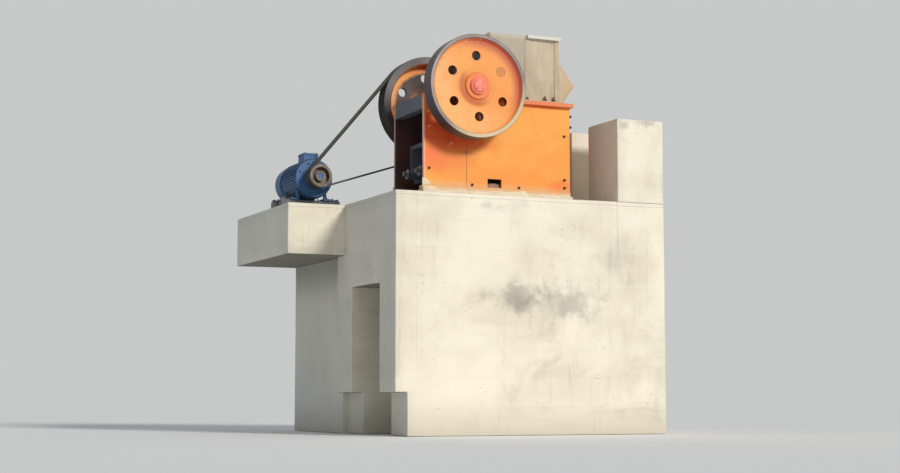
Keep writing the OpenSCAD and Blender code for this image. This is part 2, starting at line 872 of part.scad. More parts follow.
// Half section of a wheel: radius across, distance from its outer face up
module wheel_section(rim_points, rim_in) {
    hub_r = hub_d / 2;
    bore_r = shaft_d / 2 + run_gap;
    polygon(concat(
        [
            [bore_r, hub_y], [hub_r - arris, hub_y], [hub_r, hub_y + arris], [hub_r + arris, web_y],
            [rim_in - 34, web_y], [rim_in - 20, web_y - arris], [rim_in, arris], [rim_in + arris, 0]
        ],
        rim_points,
        [
            [rim_in + arris, wheel_w], [rim_in - 6, wheel_w - arris], [rim_in - 16, web_y + web_t + 20],
            [rim_in - 36, web_y + web_t], [hub_r + 20, web_y + web_t], [hub_r, web_y + web_t + 20],
            [hub_r, wheel_w + hub_over - arris], [hub_r - arris, wheel_w + hub_over],
            [bore_r, wheel_w + hub_over]
        ]
    ));
}

// Turns a hole's or boss's place round the wheel, clockwise from the top as seen from outside
module at_hole(i) {
    rotate([0, 0, i * 360 / wheel_holes - 90 - hole_turn]) translate([hole_ring, 0, 0]) children();
}

module wheel_holes(closed) {
    for (i = [0 : wheel_holes - 1]) if (i != closed)
        at_hole(i) translate([0, 0, -1]) cylinder(h = wheel_w, d = hole_d);
}

module set_wheel() {
    translate([shaft_x, wheel_y, shaft_z]) rotate([-90, 0, 0]) children();
}

// The flywheel has one hole left closed, with a raised ring round it
module near_flywheel() {
    rim = [
        [wheel_r - arris, 0], [wheel_r, arris], [wheel_r, wheel_w - arris], [wheel_r - arris, wheel_w]
    ];
    color("darkorange") set_down() set_wheel() {
        difference() {
            rotate_extrude() wheel_section(rim, wheel_r - rim_t);
            wheel_holes(closed_hole);
        }
        at_hole(closed_hole) translate([0, 0, web_y - arris]) difference() {
            cylinder(h = 2 * arris, d = hole_d + arris);
            translate([0, 0, -1]) cylinder(h = arris - 1, d = hole_d - 2 * arris);
        }
    }
}

// The grooves of a belt pulley, along its rim from one side to the other
function groove_points(r, width, top, h) = [
    for (i = [0 : belts - 1]) let (mid = width / 2 + (i - (belts - 1) / 2) * belt_pitch) each [
        [r, mid - top / 2], [r - h, mid - top / 2 + h * flank],
        [r - h, mid + top / 2 - h * flank], [r, mid + top / 2]
    ]
];

module far_grooved_wheel() {
    rim = concat([[wheel_r, 0]], groove_points(wheel_r, wheel_w, groove_w, groove_h), [[wheel_r, wheel_w]]);
    color("darkorange") set_down() across() set_wheel() difference() {
        rotate_extrude() wheel_section(rim, wheel_r - groove_rim_t);
        wheel_holes(-1);
    }
}

// A turned cap over the end of the shaft, with a raised middle
module shaft_cover() {
    r = cover_d / 2;
    translate([shaft_x, wheel_y + hub_y, shaft_z]) rotate([90, 0, 0]) rotate_extrude() polygon([
        [shaft_d / 2 + 1, 0], [r, 0], [r, cover_l * 0.5], [r - arris, cover_l * 0.6],
        [r - 3 * arris, cover_l * 0.66], [r - 4 * arris, cover_l - arris / 2], [r - 5 * arris, cover_l],
        [0, cover_l], [0, cover_l - 3 * arris], [shaft_d / 2 + 1, cover_l - 3 * arris]
    ]);
}

module near_shaft_cover() {
    color("salmon") set_down() shaft_cover();
}

module far_shaft_cover() {
    color("salmon") set_down() across() shaft_cover();
}

belt_run = [-motor_out - shaft_x, motor_z - shaft_z];
belt_dist = norm(belt_run);
belt_turn = atan2(belt_run[1], belt_run[0]);
belt_wrap = acos((wheel_r - motor_pulley_d / 2) / belt_dist);
// Width of a belt at its pulleys' rims, clear of the wheel's grooves
belt_w = groove_w - 2 * move_gap * norm([1, flank]);

// Cross section of one belt round a pulley of radius r
module belt_section(r) {
    top = belt_w / 2 + belt_top * flank;
    low = belt_w / 2 - belt_low * flank;
    polygon([[r - belt_low, -low], [r + belt_top, -top], [r + belt_top, top], [r - belt_low, low]]);
}

module one_belt() {
    small_r = motor_pulley_d / 2;
    run = belt_dist * sin(belt_wrap);
    translate([shaft_x, shaft_z, 0]) {
        rotate([0, 0, belt_turn + belt_wrap])
            rotate_extrude(angle = 360 - 2 * belt_wrap) belt_section(wheel_r);
        rotate([0, 0, belt_turn + belt_wrap]) rotate([90, 0, 0])
            linear_extrude(run) belt_section(wheel_r);
        rotate([0, 0, belt_turn - belt_wrap]) translate([0, run, 0]) rotate([90, 0, 0])
            linear_extrude(run) belt_section(wheel_r);
    }
    translate([-motor_out, motor_z, 0]) rotate([0, 0, belt_turn - belt_wrap])
        rotate_extrude(angle = 2 * belt_wrap) belt_section(small_r);
}

module v_belts() {
    color("black") set_down() for (i = [0 : belts - 1])
        translate([0, pulley_y + wheel_w / 2 + (i - (belts - 1) / 2) * belt_pitch, 0])
            rotate([90, 0, 0]) one_belt();
}

module motor_pulley() {
    r = motor_pulley_d / 2;
    top = belt_w + 2 * seat_gap * norm([1, flank]);
    depth = belt_low + 6;
    bore_r = motor_shaft_d / 2 + run_gap;
    hub_r = motor_shaft_d * 0.85;
    rim_in = r - depth - 14;
    web = wheel_w * 0.3;
    rim = concat([[r, 0]], groove_points(r, wheel_w, top, depth), [[r, wheel_w]]);
    color("dimgray") set_down() translate([-motor_out, pulley_y, motor_z]) rotate([-90, 0, 0])
        rotate_extrude() polygon(concat(
            [[bore_r, 20], [hub_r, 20], [hub_r, web], [rim_in, web], [rim_in, 0]], rim,
            [
                [rim_in, wheel_w], [rim_in, wheel_w - web], [hub_r, wheel_w - web],
                [hub_r, wheel_w - 20], [bore_r, wheel_w - 20]
            ]
        ));
}

// The motor's ribbed barrel between its two end rings
module motor_barrel() {
    barrel_d = motor_d - 2 * motor_rib_h;
    cross_bar(-motor_out, motor_z, motor_y, motor_l, barrel_d);
    for (y = [motor_y, motor_y + motor_l - ring_l]) cross_bar(-motor_out, motor_z, y, ring_l, cowl_d);
    for (i = [0 : motor_ribs - 1])
        translate([-motor_out, motor_y + ring_l - 1, motor_z]) rotate([0, (i + 0.5) * 360 / motor_ribs, 0])
            translate([-rib_w / 2, 0, 0]) cube([rib_w, motor_l - 2 * ring_l + 2, motor_d / 2]);
}

// One of the motor's feet, with its two legs
module motor_foot(side) {
    translate([-motor_foot_w / 2, 0, 0]) cube([motor_foot_w, motor_foot_l, motor_foot_t]);
    for (y = [0, motor_foot_l - motor_leg_t])
        translate([-motor_leg_t * (0.5 + side), y, 0]) cube([motor_leg_t, motor_leg_t, motor_leg_h]);
}

module motor_body() {
    box_x = -motor_out - cable_box[0] / 2;
    box_z = motor_z + motor_d / 2 - 60;
    eye_y = motor_y + (cable_box_y + cable_box[1] + motor_l) / 2;
    color("steelblue") set_down() {
        motor_barrel();
        cross_bar(-motor_out, motor_z, pulley_y + 30, motor_y - pulley_y, motor_shaft_d);
        cross_bar(-motor_out, motor_z, motor_y - shield_l, shield_l + 1, shield_d);
        translate([-motor_out, motor_y + motor_foot_y, deck + rail_h])
            for (side = [-1, 1]) translate([side * motor_foot_x, 0, 0]) motor_foot(side);
        translate([box_x, motor_y + cable_box_y, box_z]) cube(cable_box);
        translate([box_x, motor_y + cable_box_y, box_z + cable_box[2]] - cable_lid * [0.5, 0.5, 2])
            cube([cable_box[0] + cable_lid, cable_box[1] + cable_lid, cable_lid]);
        translate([-motor_out, eye_y, motor_z + (motor_d + lift_eye_d) / 2 - motor_rib_h - lift_wire_d / 2])
            rotate([0, 90, 0])
            rotate_extrude() translate([(lift_eye_d - lift_wire_d) / 2, 0]) circle(d = lift_wire_d, $fn = 24);
    }
}

// A drum over the motor's fan, with rings of slots in its end for the air
module motor_fan_cowl() {
    gap = (cowl_d / 2 - 2 * cowl_wall - motor_shaft_d / 2) / cowl_rings;
    color("steelblue") set_down() translate([-motor_out, motor_y + motor_l, motor_z]) rotate([-90, 0, 0]) {
        difference() {
            cylinder(h = cowl_l, d = cowl_d);
            translate([0, 0, -1]) cylinder(h = cowl_l - cowl_wall + 1, d = cowl_d - 2 * cowl_wall);
            for (i = [0 : cowl_rings - 1]) translate([0, 0, cowl_l - cowl_wall - 1]) difference() {
                cylinder(h = cowl_wall + 2, r = motor_shaft_d / 2 + i * gap + cowl_slot);
                translate([0, 0, -1]) cylinder(h = cowl_wall + 4, r = motor_shaft_d / 2 + i * gap);
            }
        }
        for (a = [0, 45, 90, 135]) rotate([0, 0, a])
            translate([-cowl_d / 2 + cowl_wall / 2, -cowl_web / 2, cowl_l - cowl_wall])
                cube([cowl_d - cowl_wall, cowl_web, cowl_wall]);
    }
}

// Two slotted rails under the motor's feet, with a screw at each end to push it along
module motor_rails() {
    screw_x = motor_foot_x + motor_foot_w / 2;
    block_x = rail_half - screw_block[0];
    for (y = [rail_inset, motor_foot_l - rail_w - rail_inset])
        color("dimgray") set_down() translate([-motor_out, motor_y + motor_foot_y + y, deck]) {
            difference() {
                translate([-rail_half, 0, 0]) cube([2 * rail_half, rail_w, rail_h]);
                translate([rail_end - rail_half, (rail_w - rail_slot) / 2, rail_h / 3])
                    cube([2 * (rail_half - rail_end), rail_slot, rail_h]);
            }
            for (side = [-1, 1]) {
                translate([side * block_x - screw_block[0] / 2, (rail_w - screw_block[1]) / 2, rail_h - 1])
                    cube(screw_block);
                translate([side * (screw_x + rail_half) / 2, rail_w / 2, rail_h + screw_h]) rotate([0, 90, 0])
                    cylinder(h = rail_half - screw_x, d = screw_d, center = true);
            }
        }
}

// Side sheet of the hopper, with its foot strip, its top rail and its two upright bars
module hopper_side() {
    edge_x = hopper_end - edge_in;
    seam_x = hopper_end - seam_in;
    along_y(out_y, sheet_t) polygon([
        [hopper_start, frame_top], [hopper_end, frame_top], [lip_x, frame_top + lip_h],
        [edge_x, frame_top + flare_h], [edge_x, hopper_top], [hopper_start - rear_lean, hopper_top]
    ]);
    translate([hopper_start, out_y - bar_w, frame_top]) cube([hopper_l, bar_w + 1, bar_t]);
    translate([seam_x, out_y - bar_w, hopper_top - bar_t]) cube([edge_x - seam_x, bar_w + 1, bar_t]);
    for (x = [seam_x, edge_x - bar_w])
        translate([x, out_y - bar_t, frame_top]) cube([bar_w, bar_t + 1, hopper_h]);
}

module hopper_near_side() {
    color("tan") set_down() hopper_side();
}

module hopper_far_side() {
    color("tan") set_down() across() hopper_side();
}

module hopper_front_lip() {
    color("tan") set_down() along_y(out_y + sheet_t, frame_w - 2 * sheet_t) polygon([
        [hopper_end - flare_t, frame_top], [hopper_end, frame_top], [lip_x, frame_top + lip_h],
        [lip_x - flare_t, frame_top + lip_h]
    ]);
}

// A leaning sheet behind the mouth, with bars up its back
module hopper_rear_sheet() {
    foot_z = frame_top + rear_gap;
    wide = sheet_t + 1;
    step = (frame_w - 2 * sheet_t - bar_w) / (rear_bars - 1);
    color("tan") set_down() {
        along_y(out_y + sheet_t, frame_w - 2 * sheet_t) polygon([
            [hopper_start, foot_z], [hopper_start + wide, foot_z],
            [hopper_start + wide - rear_lean, hopper_top], [hopper_start - rear_lean, hopper_top]
        ]);
        for (i = [0 : rear_bars - 1]) along_y(out_y + sheet_t + i * step, bar_w) polygon([
            [hopper_start - bar_t, foot_z], [hopper_start + 1, foot_z],
            [hopper_start + 1 - rear_lean, hopper_top], [hopper_start - bar_t - rear_lean, hopper_top]
        ]);
    }
}

near_wall();
far_wall();
end_wall();
near_head_beam();
far_head_beam();
rear_head_beam();
feed_head_beam();
near_feeder_pier();
far_feeder_pier();
motor_platform();
motor_wall();
near_mortar_bed();
far_mortar_bed();
near_side_plate();
far_side_plate();
near_top_flange();
far_top_flange();
front_wall();
rear_cross_beam();
toggle_beam();
near_cheek_plate();
far_cheek_plate();
fixed_jaw_plate();
swing_jaw();
swing_jaw_plate();
toggle_seat();
toggle_plate();
tension_rods();
tension_springs();
near_bearing_housing();
far_bearing_housing();
eccentric_shaft();
near_flywheel();
far_grooved_wheel();
near_shaft_cover();
far_shaft_cover();
v_belts();
motor_pulley();
motor_body();
motor_fan_cowl();
motor_rails();
hopper_near_side();
hopper_far_side();
hopper_front_lip();
hopper_rear_sheet();
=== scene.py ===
"""Looks of a jaw crusher on its cast concrete foundation, with its feed hopper and belt drive.

Metres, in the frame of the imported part: X runs to the feed end, Y away from the near
flywheel, Z up. The sections follow the machine from the ground up.
"""

import json
import math

import bmesh
import bpy
from mathutils import Matrix, Vector, noise

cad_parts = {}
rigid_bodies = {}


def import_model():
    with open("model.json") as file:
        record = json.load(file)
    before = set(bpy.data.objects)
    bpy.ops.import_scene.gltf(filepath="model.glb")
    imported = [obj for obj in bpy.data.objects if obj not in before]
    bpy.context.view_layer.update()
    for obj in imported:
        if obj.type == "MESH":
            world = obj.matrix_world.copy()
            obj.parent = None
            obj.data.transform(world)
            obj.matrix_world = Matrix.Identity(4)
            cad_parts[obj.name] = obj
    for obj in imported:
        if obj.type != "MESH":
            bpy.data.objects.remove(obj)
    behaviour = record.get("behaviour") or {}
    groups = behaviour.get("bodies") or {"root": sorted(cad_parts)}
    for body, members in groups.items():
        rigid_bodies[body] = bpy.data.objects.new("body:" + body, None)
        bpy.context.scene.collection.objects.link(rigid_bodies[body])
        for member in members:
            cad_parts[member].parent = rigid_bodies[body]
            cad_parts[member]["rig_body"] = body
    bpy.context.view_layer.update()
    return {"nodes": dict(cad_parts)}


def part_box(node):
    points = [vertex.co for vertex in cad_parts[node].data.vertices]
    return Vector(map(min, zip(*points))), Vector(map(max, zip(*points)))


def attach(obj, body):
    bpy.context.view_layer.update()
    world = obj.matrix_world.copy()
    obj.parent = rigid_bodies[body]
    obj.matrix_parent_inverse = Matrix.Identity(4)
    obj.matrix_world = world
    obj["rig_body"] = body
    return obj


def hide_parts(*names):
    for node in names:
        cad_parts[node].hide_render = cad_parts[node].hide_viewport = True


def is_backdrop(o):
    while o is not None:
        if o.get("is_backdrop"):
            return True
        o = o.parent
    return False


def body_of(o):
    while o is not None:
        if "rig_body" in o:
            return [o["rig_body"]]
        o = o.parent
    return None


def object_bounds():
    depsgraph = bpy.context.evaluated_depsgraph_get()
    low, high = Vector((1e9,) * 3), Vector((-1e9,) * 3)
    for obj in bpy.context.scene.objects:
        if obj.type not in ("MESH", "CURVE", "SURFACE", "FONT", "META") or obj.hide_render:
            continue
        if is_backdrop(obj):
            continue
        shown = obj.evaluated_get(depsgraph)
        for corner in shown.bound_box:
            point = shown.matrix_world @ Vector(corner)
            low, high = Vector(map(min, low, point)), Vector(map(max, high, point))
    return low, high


for leftover in list(bpy.data.objects):
    bpy.data.objects.remove(leftover)
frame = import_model()


# Concrete foundation
# One mass of concrete, cast in lifts against sawn boards: two long walls, a closed feed
# end, a thick deck with its outlet, two feeder piers, and the motor's slab on its wall.
# The sun has bleached it cream; rain has left streaks, and the boards faint lines.

FOUNDATION = [
    "near_wall", "far_wall", "end_wall", "near_head_beam", "far_head_beam",
    "rear_head_beam", "feed_head_beam", "near_feeder_pier", "far_feeder_pier",
    "motor_platform", "motor_wall",
]
BOARD_HEIGHT = 0.2
PANEL_LENGTH = 1.22
LAST_LIFT = 3.32
PIER_JOINT_X, PIER_JOINT_FOOT = 1.795, 2.59
SLAB_SHADE = 0.7
NEAR_FACE = -2.28
STAINS = (   # middle, half sizes, amount
    ((0.13, NEAR_FACE, 1.96), (0.56, 0.5, 0.3), 0.82),
    ((0.92, NEAR_FACE, 1.84), (0.74, 0.5, 0.38), 0.6),
    ((1.93, NEAR_FACE, 4.5), (0.15, 0.4, 0.09), 0.5),
    ((2.28, NEAR_FACE, 4.57), (0.26, 0.4, 0.06), 0.5),
    ((-0.3, NEAR_FACE, 3.23), (0.14, 0.4, 0.08), 0.36),
    ((1.75, NEAR_FACE, 2.5), (0.5, 0.4, 0.42), 0.26),
)


def give(socket, value):
    """Links a socket to another or sets its value; None leaves it as it is."""
    if isinstance(value, bpy.types.NodeSocket):
        socket.id_data.links.new(value, socket)
    elif value is not None:
        socket.default_value = (*value, 1.0) if socket.type == "RGBA" else value


def put(tree, kind, *wires, **settings):
    """Adds a node; settings are its own properties, wires feed its inputs in order."""
    made = tree.nodes.new("ShaderNode" + kind)
    for name, value in settings.items():
        setattr(made, name, value)
    for socket, wire in zip(made.inputs, wires):
        give(socket, wire)
    return made


# The next helpers work in the tree of the sockets that they are given.


def maths(operation, *wires):
    """A Math node's result; each wire after the second one is taken in by one more node."""
    tree = next(wire.id_data for wire in wires if isinstance(wire, bpy.types.NodeSocket))
    result = put(tree, "Math", *wires[:2], operation=operation).outputs[0]
    for wire in wires[2:]:
        result = put(tree, "Math", result, wire, operation=operation).outputs[0]
    return result


def times(*wires):
    return maths("MULTIPLY", *wires)


def plus(*wires):
    return maths("ADD", *wires)


def minus(*wires):
    return maths("SUBTRACT", *wires)


def greatest(*wires):
    return maths("MAXIMUM", *wires)


def apart(value, middle):
    """How far a value lies from a middle one, to either side."""
    return maths("ABSOLUTE", minus(value, middle))


def fade(value, low, high, start=0.0, end=1.0):
    """A smooth step of value from low to high."""
    return put(value.id_data, "MapRange", value, low, high, start, end,
               interpolation_type="SMOOTHSTEP").outputs[0]


def layered(colour, *layers):
    """Lays colours over a first one, in turn; a layer is its mask and the colour where that is 1."""
    for mask, over in layers:
        mixed = put(mask.id_data, "Mix", data_type="RGBA")
        for place, wire in ((0, mask), (6, colour), (7, over)):
            give(mixed.inputs[place], wire)
        colour = mixed.outputs[2]
    return colour


def grain(place, scale, detail=4.0, roughness=0.55, distortion=0.0):
    made = put(place.id_data, "TexNoise", place, None, scale, detail, roughness)
    made.inputs["Distortion"].default_value = distortion
    return made.outputs[0]


def stretched(place, *scales):
    """The same place with each axis scaled, so that a pattern runs long one way."""
    return put(place.id_data, "Mapping", place, None, None, scales).outputs[0]


def parts_of(vector):
    return put(vector.id_data, "SeparateXYZ", vector).outputs


def looks(tree):
    """The three parts of the way that the true face looks."""
    return parts_of(put(tree, "NewGeometry").outputs["Normal"])


def effect(name, **inputs):
    """A new node group with float inputs and one mask; returns it, its inputs and the mask's socket."""
    group = bpy.data.node_groups.new(name, "ShaderNodeTree")
    for label, value in inputs.items():
        group.interface.new_socket(label, in_out="INPUT", socket_type="NodeSocketFloat").default_value = value
    group.interface.new_socket("Mask", in_out="OUTPUT", socket_type="NodeSocketFloat")
    return group, group.nodes.new("NodeGroupInput").outputs, group.nodes.new("NodeGroupOutput").inputs[0]


def use(tree, group, **values):
    """Places an effect in a material with its own values; returns its mask."""
    placed = tree.nodes.new("ShaderNodeGroup")
    placed.node_tree = group
    for name, value in values.items():
        placed.inputs[name].default_value = value
    return placed.outputs[0]


def object_place(tree):
    return put(tree, "TexCoord").outputs["Object"]


# Rain runs down upright faces in thin streaks that start and stop.
rain_streaks, given, mask = effect("rain_streaks", Width=0.06, Amount=0.5)
tree = rain_streaks
place = object_place(tree)
across = put(tree, "VectorMath", place, (1.0, 1.0, 0.11), operation="MULTIPLY").outputs[0]
fine = grain(across, maths("DIVIDE", 1.0, given["Width"]), 3.0, 0.6)
broad = grain(place, 0.9, 3.0)
give(mask, times(fade(fine, 0.52, 0.7), fade(broad, 0.42, 0.62), given["Amount"]))

# Stone dust settles on whatever faces up, thicker in patches.
settled_dust, given, mask = effect("settled_dust", Amount=0.7, Patches=3.0)
tree = settled_dust
upward = parts_of(put(tree, "TexCoord").outputs["Normal"])[2]
patches = grain(object_place(tree), given["Patches"], 6.0, 0.65)
give(mask, times(fade(upward, 0.35, 0.9), fade(patches, 0.25, 0.6, 0.45, 1.0), given["Amount"]))

# Edges are knocked and rubbed, in short broken runs.
edge_wear, given, mask = effect("edge_wear", Reach=0.02, Breakup=9.0, Amount=0.8)
tree = edge_wear
rounded_normal = put(tree, "Bevel", given["Reach"], samples=4).outputs[0]
flat_normal = put(tree, "NewGeometry").outputs["Normal"]
turned = put(tree, "VectorMath", rounded_normal, flat_normal, operation="DOT_PRODUCT").outputs[1]
broken = grain(object_place(tree), given["Breakup"], 5.0, 0.7)
give(mask, times(fade(turned, 0.985, 0.86), fade(broken, 0.42, 0.6), given["Amount"]))


def finish_of(name, slot):
    """An empty material for a finish and the record's slot; returns its tree, shader and place too."""
    material = bpy.data.materials.new(name)
    material.use_nodes = True
    material["slot"] = slot
    tree = material.node_tree
    return material, tree, tree.nodes["Principled BSDF"], object_place(tree)


def feed(shader, colour, roughness, metallic=0.0, specular=0.5):
    """Feeds a shader's main inputs, each from a socket or as a value."""
    give(shader.inputs["Base Color"], colour)
    give(shader.inputs["Roughness"], roughness)
    give(shader.inputs["Metallic"], metallic)
    give(shader.inputs["Specular IOR Level"], specular)


def relief(shader, height, strength, distance):
    """Bump from a height; strength and distance are the Bump node's own."""
    bump = put(shader.id_data, "Bump", strength, distance)
    give(bump.inputs["Height"], height)
    give(shader.inputs["Normal"], bump.outputs[0])


def patch(place, centre, reach, blur=0.45, ragged=0.5, mottled=False):
    """A soft ragged blot; reach is its half size along each axis. A mottled one's noise isn't stretched."""
    spot = put(place.id_data, "Mapping", place, tuple(-c / r for c, r in zip(centre, reach)), None,
               tuple(1 / r for r in reach)).outputs[0]
    away = put(place.id_data, "VectorMath", spot, operation="LENGTH").outputs[1]
    uneven = grain(place, 4.2, 7.0, 0.6, 0.12) if mottled else grain(spot, 2.2, 6.0, 0.65)
    return fade(plus(away, times(minus(uneven, 0.5), ragged)), 1.0, blur)


def lay_over(material, *layers):
    """Lays more colours over a finished material."""
    socket = material.node_tree.nodes["Principled BSDF"].inputs["Base Color"]
    give(socket, layered(socket.links[0].from_socket, *layers))


concrete, tree, shader, place = finish_of("cast_concrete", "concrete")
x, y, z = parts_of(place)
wander = times(minus(grain(place, 2.4, 5.0), 0.5), 0.03)
board = maths("DIVIDE", plus(z, wander), BOARD_HEIGHT)
board_tone = put(tree, "TexWhiteNoise", None, maths("FLOOR", board), noise_dimensions="1D").outputs[0]
board_edge = apart(maths("FRACT", board), 0.5)
panel = apart(maths("FRACT", maths("DIVIDE", plus(x, y), PANEL_LENGTH)), 0.5)
board_line = times(fade(board_edge, 0.47, 0.498),
                   fade(grain(stretched(place, 0.5, 0.5, 2.6), 1.0, 3.0), 0.52, 0.7))
panel_line = times(fade(panel, 0.4945, 0.499), fade(grain(place, 0.8), 0.5, 0.66))
lift_line = fade(apart(plus(z, wander), LAST_LIFT), 0.007, 0.002)
pier_line = times(fade(apart(plus(x, wander), PIER_JOINT_X), 0.008, 0.002),
                  fade(z, PIER_JOINT_FOOT - 0.06, PIER_JOINT_FOOT + 0.1))
lines = greatest(times(board_line, 0.55), times(panel_line, 0.6), times(lift_line, 0.8), pier_line)
pits = times(fade(put(tree, "TexVoronoi", place, None, 13.0).outputs[0], 0.16, 0.08),
             fade(grain(place, 1.9, 2.0), 0.56, 0.66))
cloud = grain(place, 0.85, 7.0, 0.62, 0.4)
speckle = grain(place, 34.0, 5.0, 0.7)
weathered = grain(stretched(place, 0.8, 0.8, 1.5), 0.75, 8.0, 0.66, 0.9)
rearward, _, upward = looks(tree)
slab_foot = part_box("motor_platform")[0].z
# Painted shadow of the motor slab, darkening the rear-looking wall faces just below it.
painted_slab_shadow = times(fade(z, slab_foot - SLAB_SHADE, slab_foot, 0.0, 0.6),
                   fade(z, slab_foot, slab_foot + 0.01, 1.0, 0.0),
                   fade(y, 0.0, 0.1), fade(rearward, -0.5, -0.9))
splashed = fade(plus(z, times(cloud, 0.9)), 1.0, 0.3)
colour = layered(
    (0.905, 0.835, 0.69),
    (fade(cloud, 0.36, 0.66), (0.755, 0.685, 0.55)),
    (fade(board_tone, 0.0, 1.0, 0.0, 0.22), (0.93, 0.875, 0.745)),
    (fade(speckle, 0.52, 0.78, 0.0, 0.22), (0.6, 0.54, 0.44)),
    (times(fade(weathered, 0.555, 0.7), 0.5), (0.56, 0.505, 0.42)),
    *((times(patch(place, centre, reach, -0.05, 2.6, mottled=True), amount), (0.38, 0.35, 0.3))
      for centre, reach, amount in STAINS),
    (use(tree, rain_streaks, Width=0.075, Amount=0.26), (0.47, 0.43, 0.36)),
    # Painted shade: faces that look to the rear end are laid over with a cooler grey.
    (fade(rearward, -0.5, -0.9, 0.0, 0.5), (0.6, 0.625, 0.605)),
    # Painted shade: faces that look down are laid over with a dark grey.
    (fade(upward, -0.5, -0.9, 0.0, 0.8), (0.11, 0.115, 0.105)),
    # Painted shadow under the motor slab.
    (painted_slab_shadow, (0.22, 0.225, 0.205)),
    (times(splashed, 0.55), (0.43, 0.385, 0.31)),
    (times(lines, 0.42), (0.44, 0.4, 0.34)),
    (times(pits, 0.55), (0.3, 0.27, 0.235)),
    (use(tree, settled_dust, Amount=0.62, Patches=2.4), (0.56, 0.505, 0.42)),
    (use(tree, edge_wear, Reach=0.035, Breakup=6.0, Amount=0.5), (0.93, 0.88, 0.77)),
)
feed(shader, colour, fade(cloud, 0.3, 0.7, 0.86, 0.97), specular=0.25)
height = plus(times(grain(place, 7.0, 8.0, 0.6), 0.4), times(speckle, 0.2), times(board_tone, 0.08))
relief(shader, minus(height, times(lines, 0.5), times(pits, 0.9)), 0.6, 0.012)


def own_copy(node):
    """A CAD node's mesh as one joined skin, in a bmesh of its own."""
    shape = bmesh.new()
    shape.from_mesh(frame["nodes"][node].data)
    bmesh.ops.remove_doubles(shape, verts=shape.verts, dist=0.0001)
    bmesh.ops.dissolve_limit(shape, angle_limit=math.radians(0.5), verts=shape.verts, edges=shape.edges)
    return shape


def linked(name, data):
    """A new object in the scene."""
    made = bpy.data.objects.new(name, data)
    bpy.context.scene.collection.objects.link(made)
    return made


def stand_up(shape, name, material, body, *nodes, crease=32):
    """Turns a bmesh into a piece that rides on a body and stands for the CAD nodes given."""
    for edge in shape.edges:
        edge.smooth = edge.calc_face_angle(0.0) < math.radians(crease)
    for face in shape.faces:
        face.smooth = True
    mesh = bpy.data.meshes.new(name)
    shape.to_mesh(mesh)
    shape.free()
    mesh.materials.append(material)
    piece = linked(name, mesh)
    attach(piece, body)
    if nodes:
        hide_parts(*nodes)
    return piece


def lies_in(point, node, play=0.002):
    low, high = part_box(node)
    return all(low[i] - play <= point[i] <= high[i] + play for i in range(3))


def sliced(shape, node, pitch):
    """Cuts a node's skin across at an even pitch along each axis, so that it can swell and dent."""
    low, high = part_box(node)
    for axis in range(3):
        for cut in range(1, int((high[axis] - low[axis]) / pitch)):
            normal, spot = Vector((0, 0, 0)), Vector(low)
            normal[axis] = 1
            spot[axis] += cut * pitch
            bmesh.ops.bisect_plane(shape, geom=shape.verts[:] + shape.edges[:] + shape.faces[:],
                                   plane_co=spot, plane_no=normal)


def cast(node, material, arris, swell, pitch, neighbours, bedded=0.0):
    """A casting's skin: outer arrises broken off, its faces uneven but where it meets a neighbour."""
    others = [n for n in neighbours if n != node]
    shape = own_copy(node)
    free = [e for e in shape.edges if e.calc_face_angle(0.0) > 0.5
            and not any(lies_in((e.verts[0].co + e.verts[1].co) / 2, n) for n in others)]
    bmesh.ops.bevel(shape, geom=free, offset=arris, offset_type="OFFSET", affect="EDGES",
                    segments=2, profile=0.5, material=-1, clamp_overlap=True)
    sliced(shape, node, pitch)
    shape.normal_update()
    moves = [(v, v.normal * swell * (noise.fractal(v.co * 1.9, 0.9, 2.0, 4) - 1.0)) for v in shape.verts
             if not any(lies_in(v.co, n) for n in others)]
    for v, move in moves:
        v.co += move
    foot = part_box(node)[0].z
    for v in shape.verts:
        if v.co.z < foot + 0.001:
            v.co.z -= bedded
    return stand_up(shape, node + "_skin", material, "root", node, crease=60)


for node in FOUNDATION:
    cast(node, concrete, 0.016, 0.0035, 0.16, FOUNDATION)


# Mortar beds
# Strips of mortar poured under the frame's feet and left as the trowel made them, with
# the leavings heaped against the side plates' lower corners and dropped along the feet.

mortar, tree, shader, place = finish_of("rough_mortar", "mortar")
cloud = grain(place, 2.6, 7.0, 0.65, 0.5)
trowel = grain(stretched(place, 6.0, 14.0, 20.0), 1.6, 6.0, 0.6, 1.2)
colour = layered(
    (0.9, 0.79, 0.6),
    (fade(cloud, 0.38, 0.64), (0.8, 0.66, 0.46)),
    (fade(trowel, 0.55, 0.75, 0.0, 0.45), (0.58, 0.48, 0.35)),
    (use(tree, settled_dust, Amount=0.5, Patches=4.0), (0.62, 0.55, 0.44)),
)
feed(shader, colour, fade(trowel, 0.3, 0.7, 0.84, 0.98))
relief(shader, plus(trowel, times(grain(place, 40.0, 5.0), 0.4)), 0.9, 0.012)

for side in ("near", "far"):
    cast(side + "_mortar_bed", mortar, 0.02, 0.009, 0.055, [side + "_side_plate", side + "_head_beam"],
         bedded=0.01)

plate_low, plate_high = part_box("near_side_plate")
middle_y = (plate_low.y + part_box("far_side_plate")[1].y) / 2
frame_rear, frame_feed, frame_foot = plate_low.x, plate_high.x, plate_low.z
PLATE_FACE = 0.5625     # from the middle of the machine to a side plate's outer face
PLATE_INSIDE = 0.5125   # and to its inner face
FOOT_TOP = frame_foot + 0.05


def off(side, away):
    """The Y of what lies so far from the machine's middle, on the near side (-1) or the far (1)."""
    return middle_y + side * away


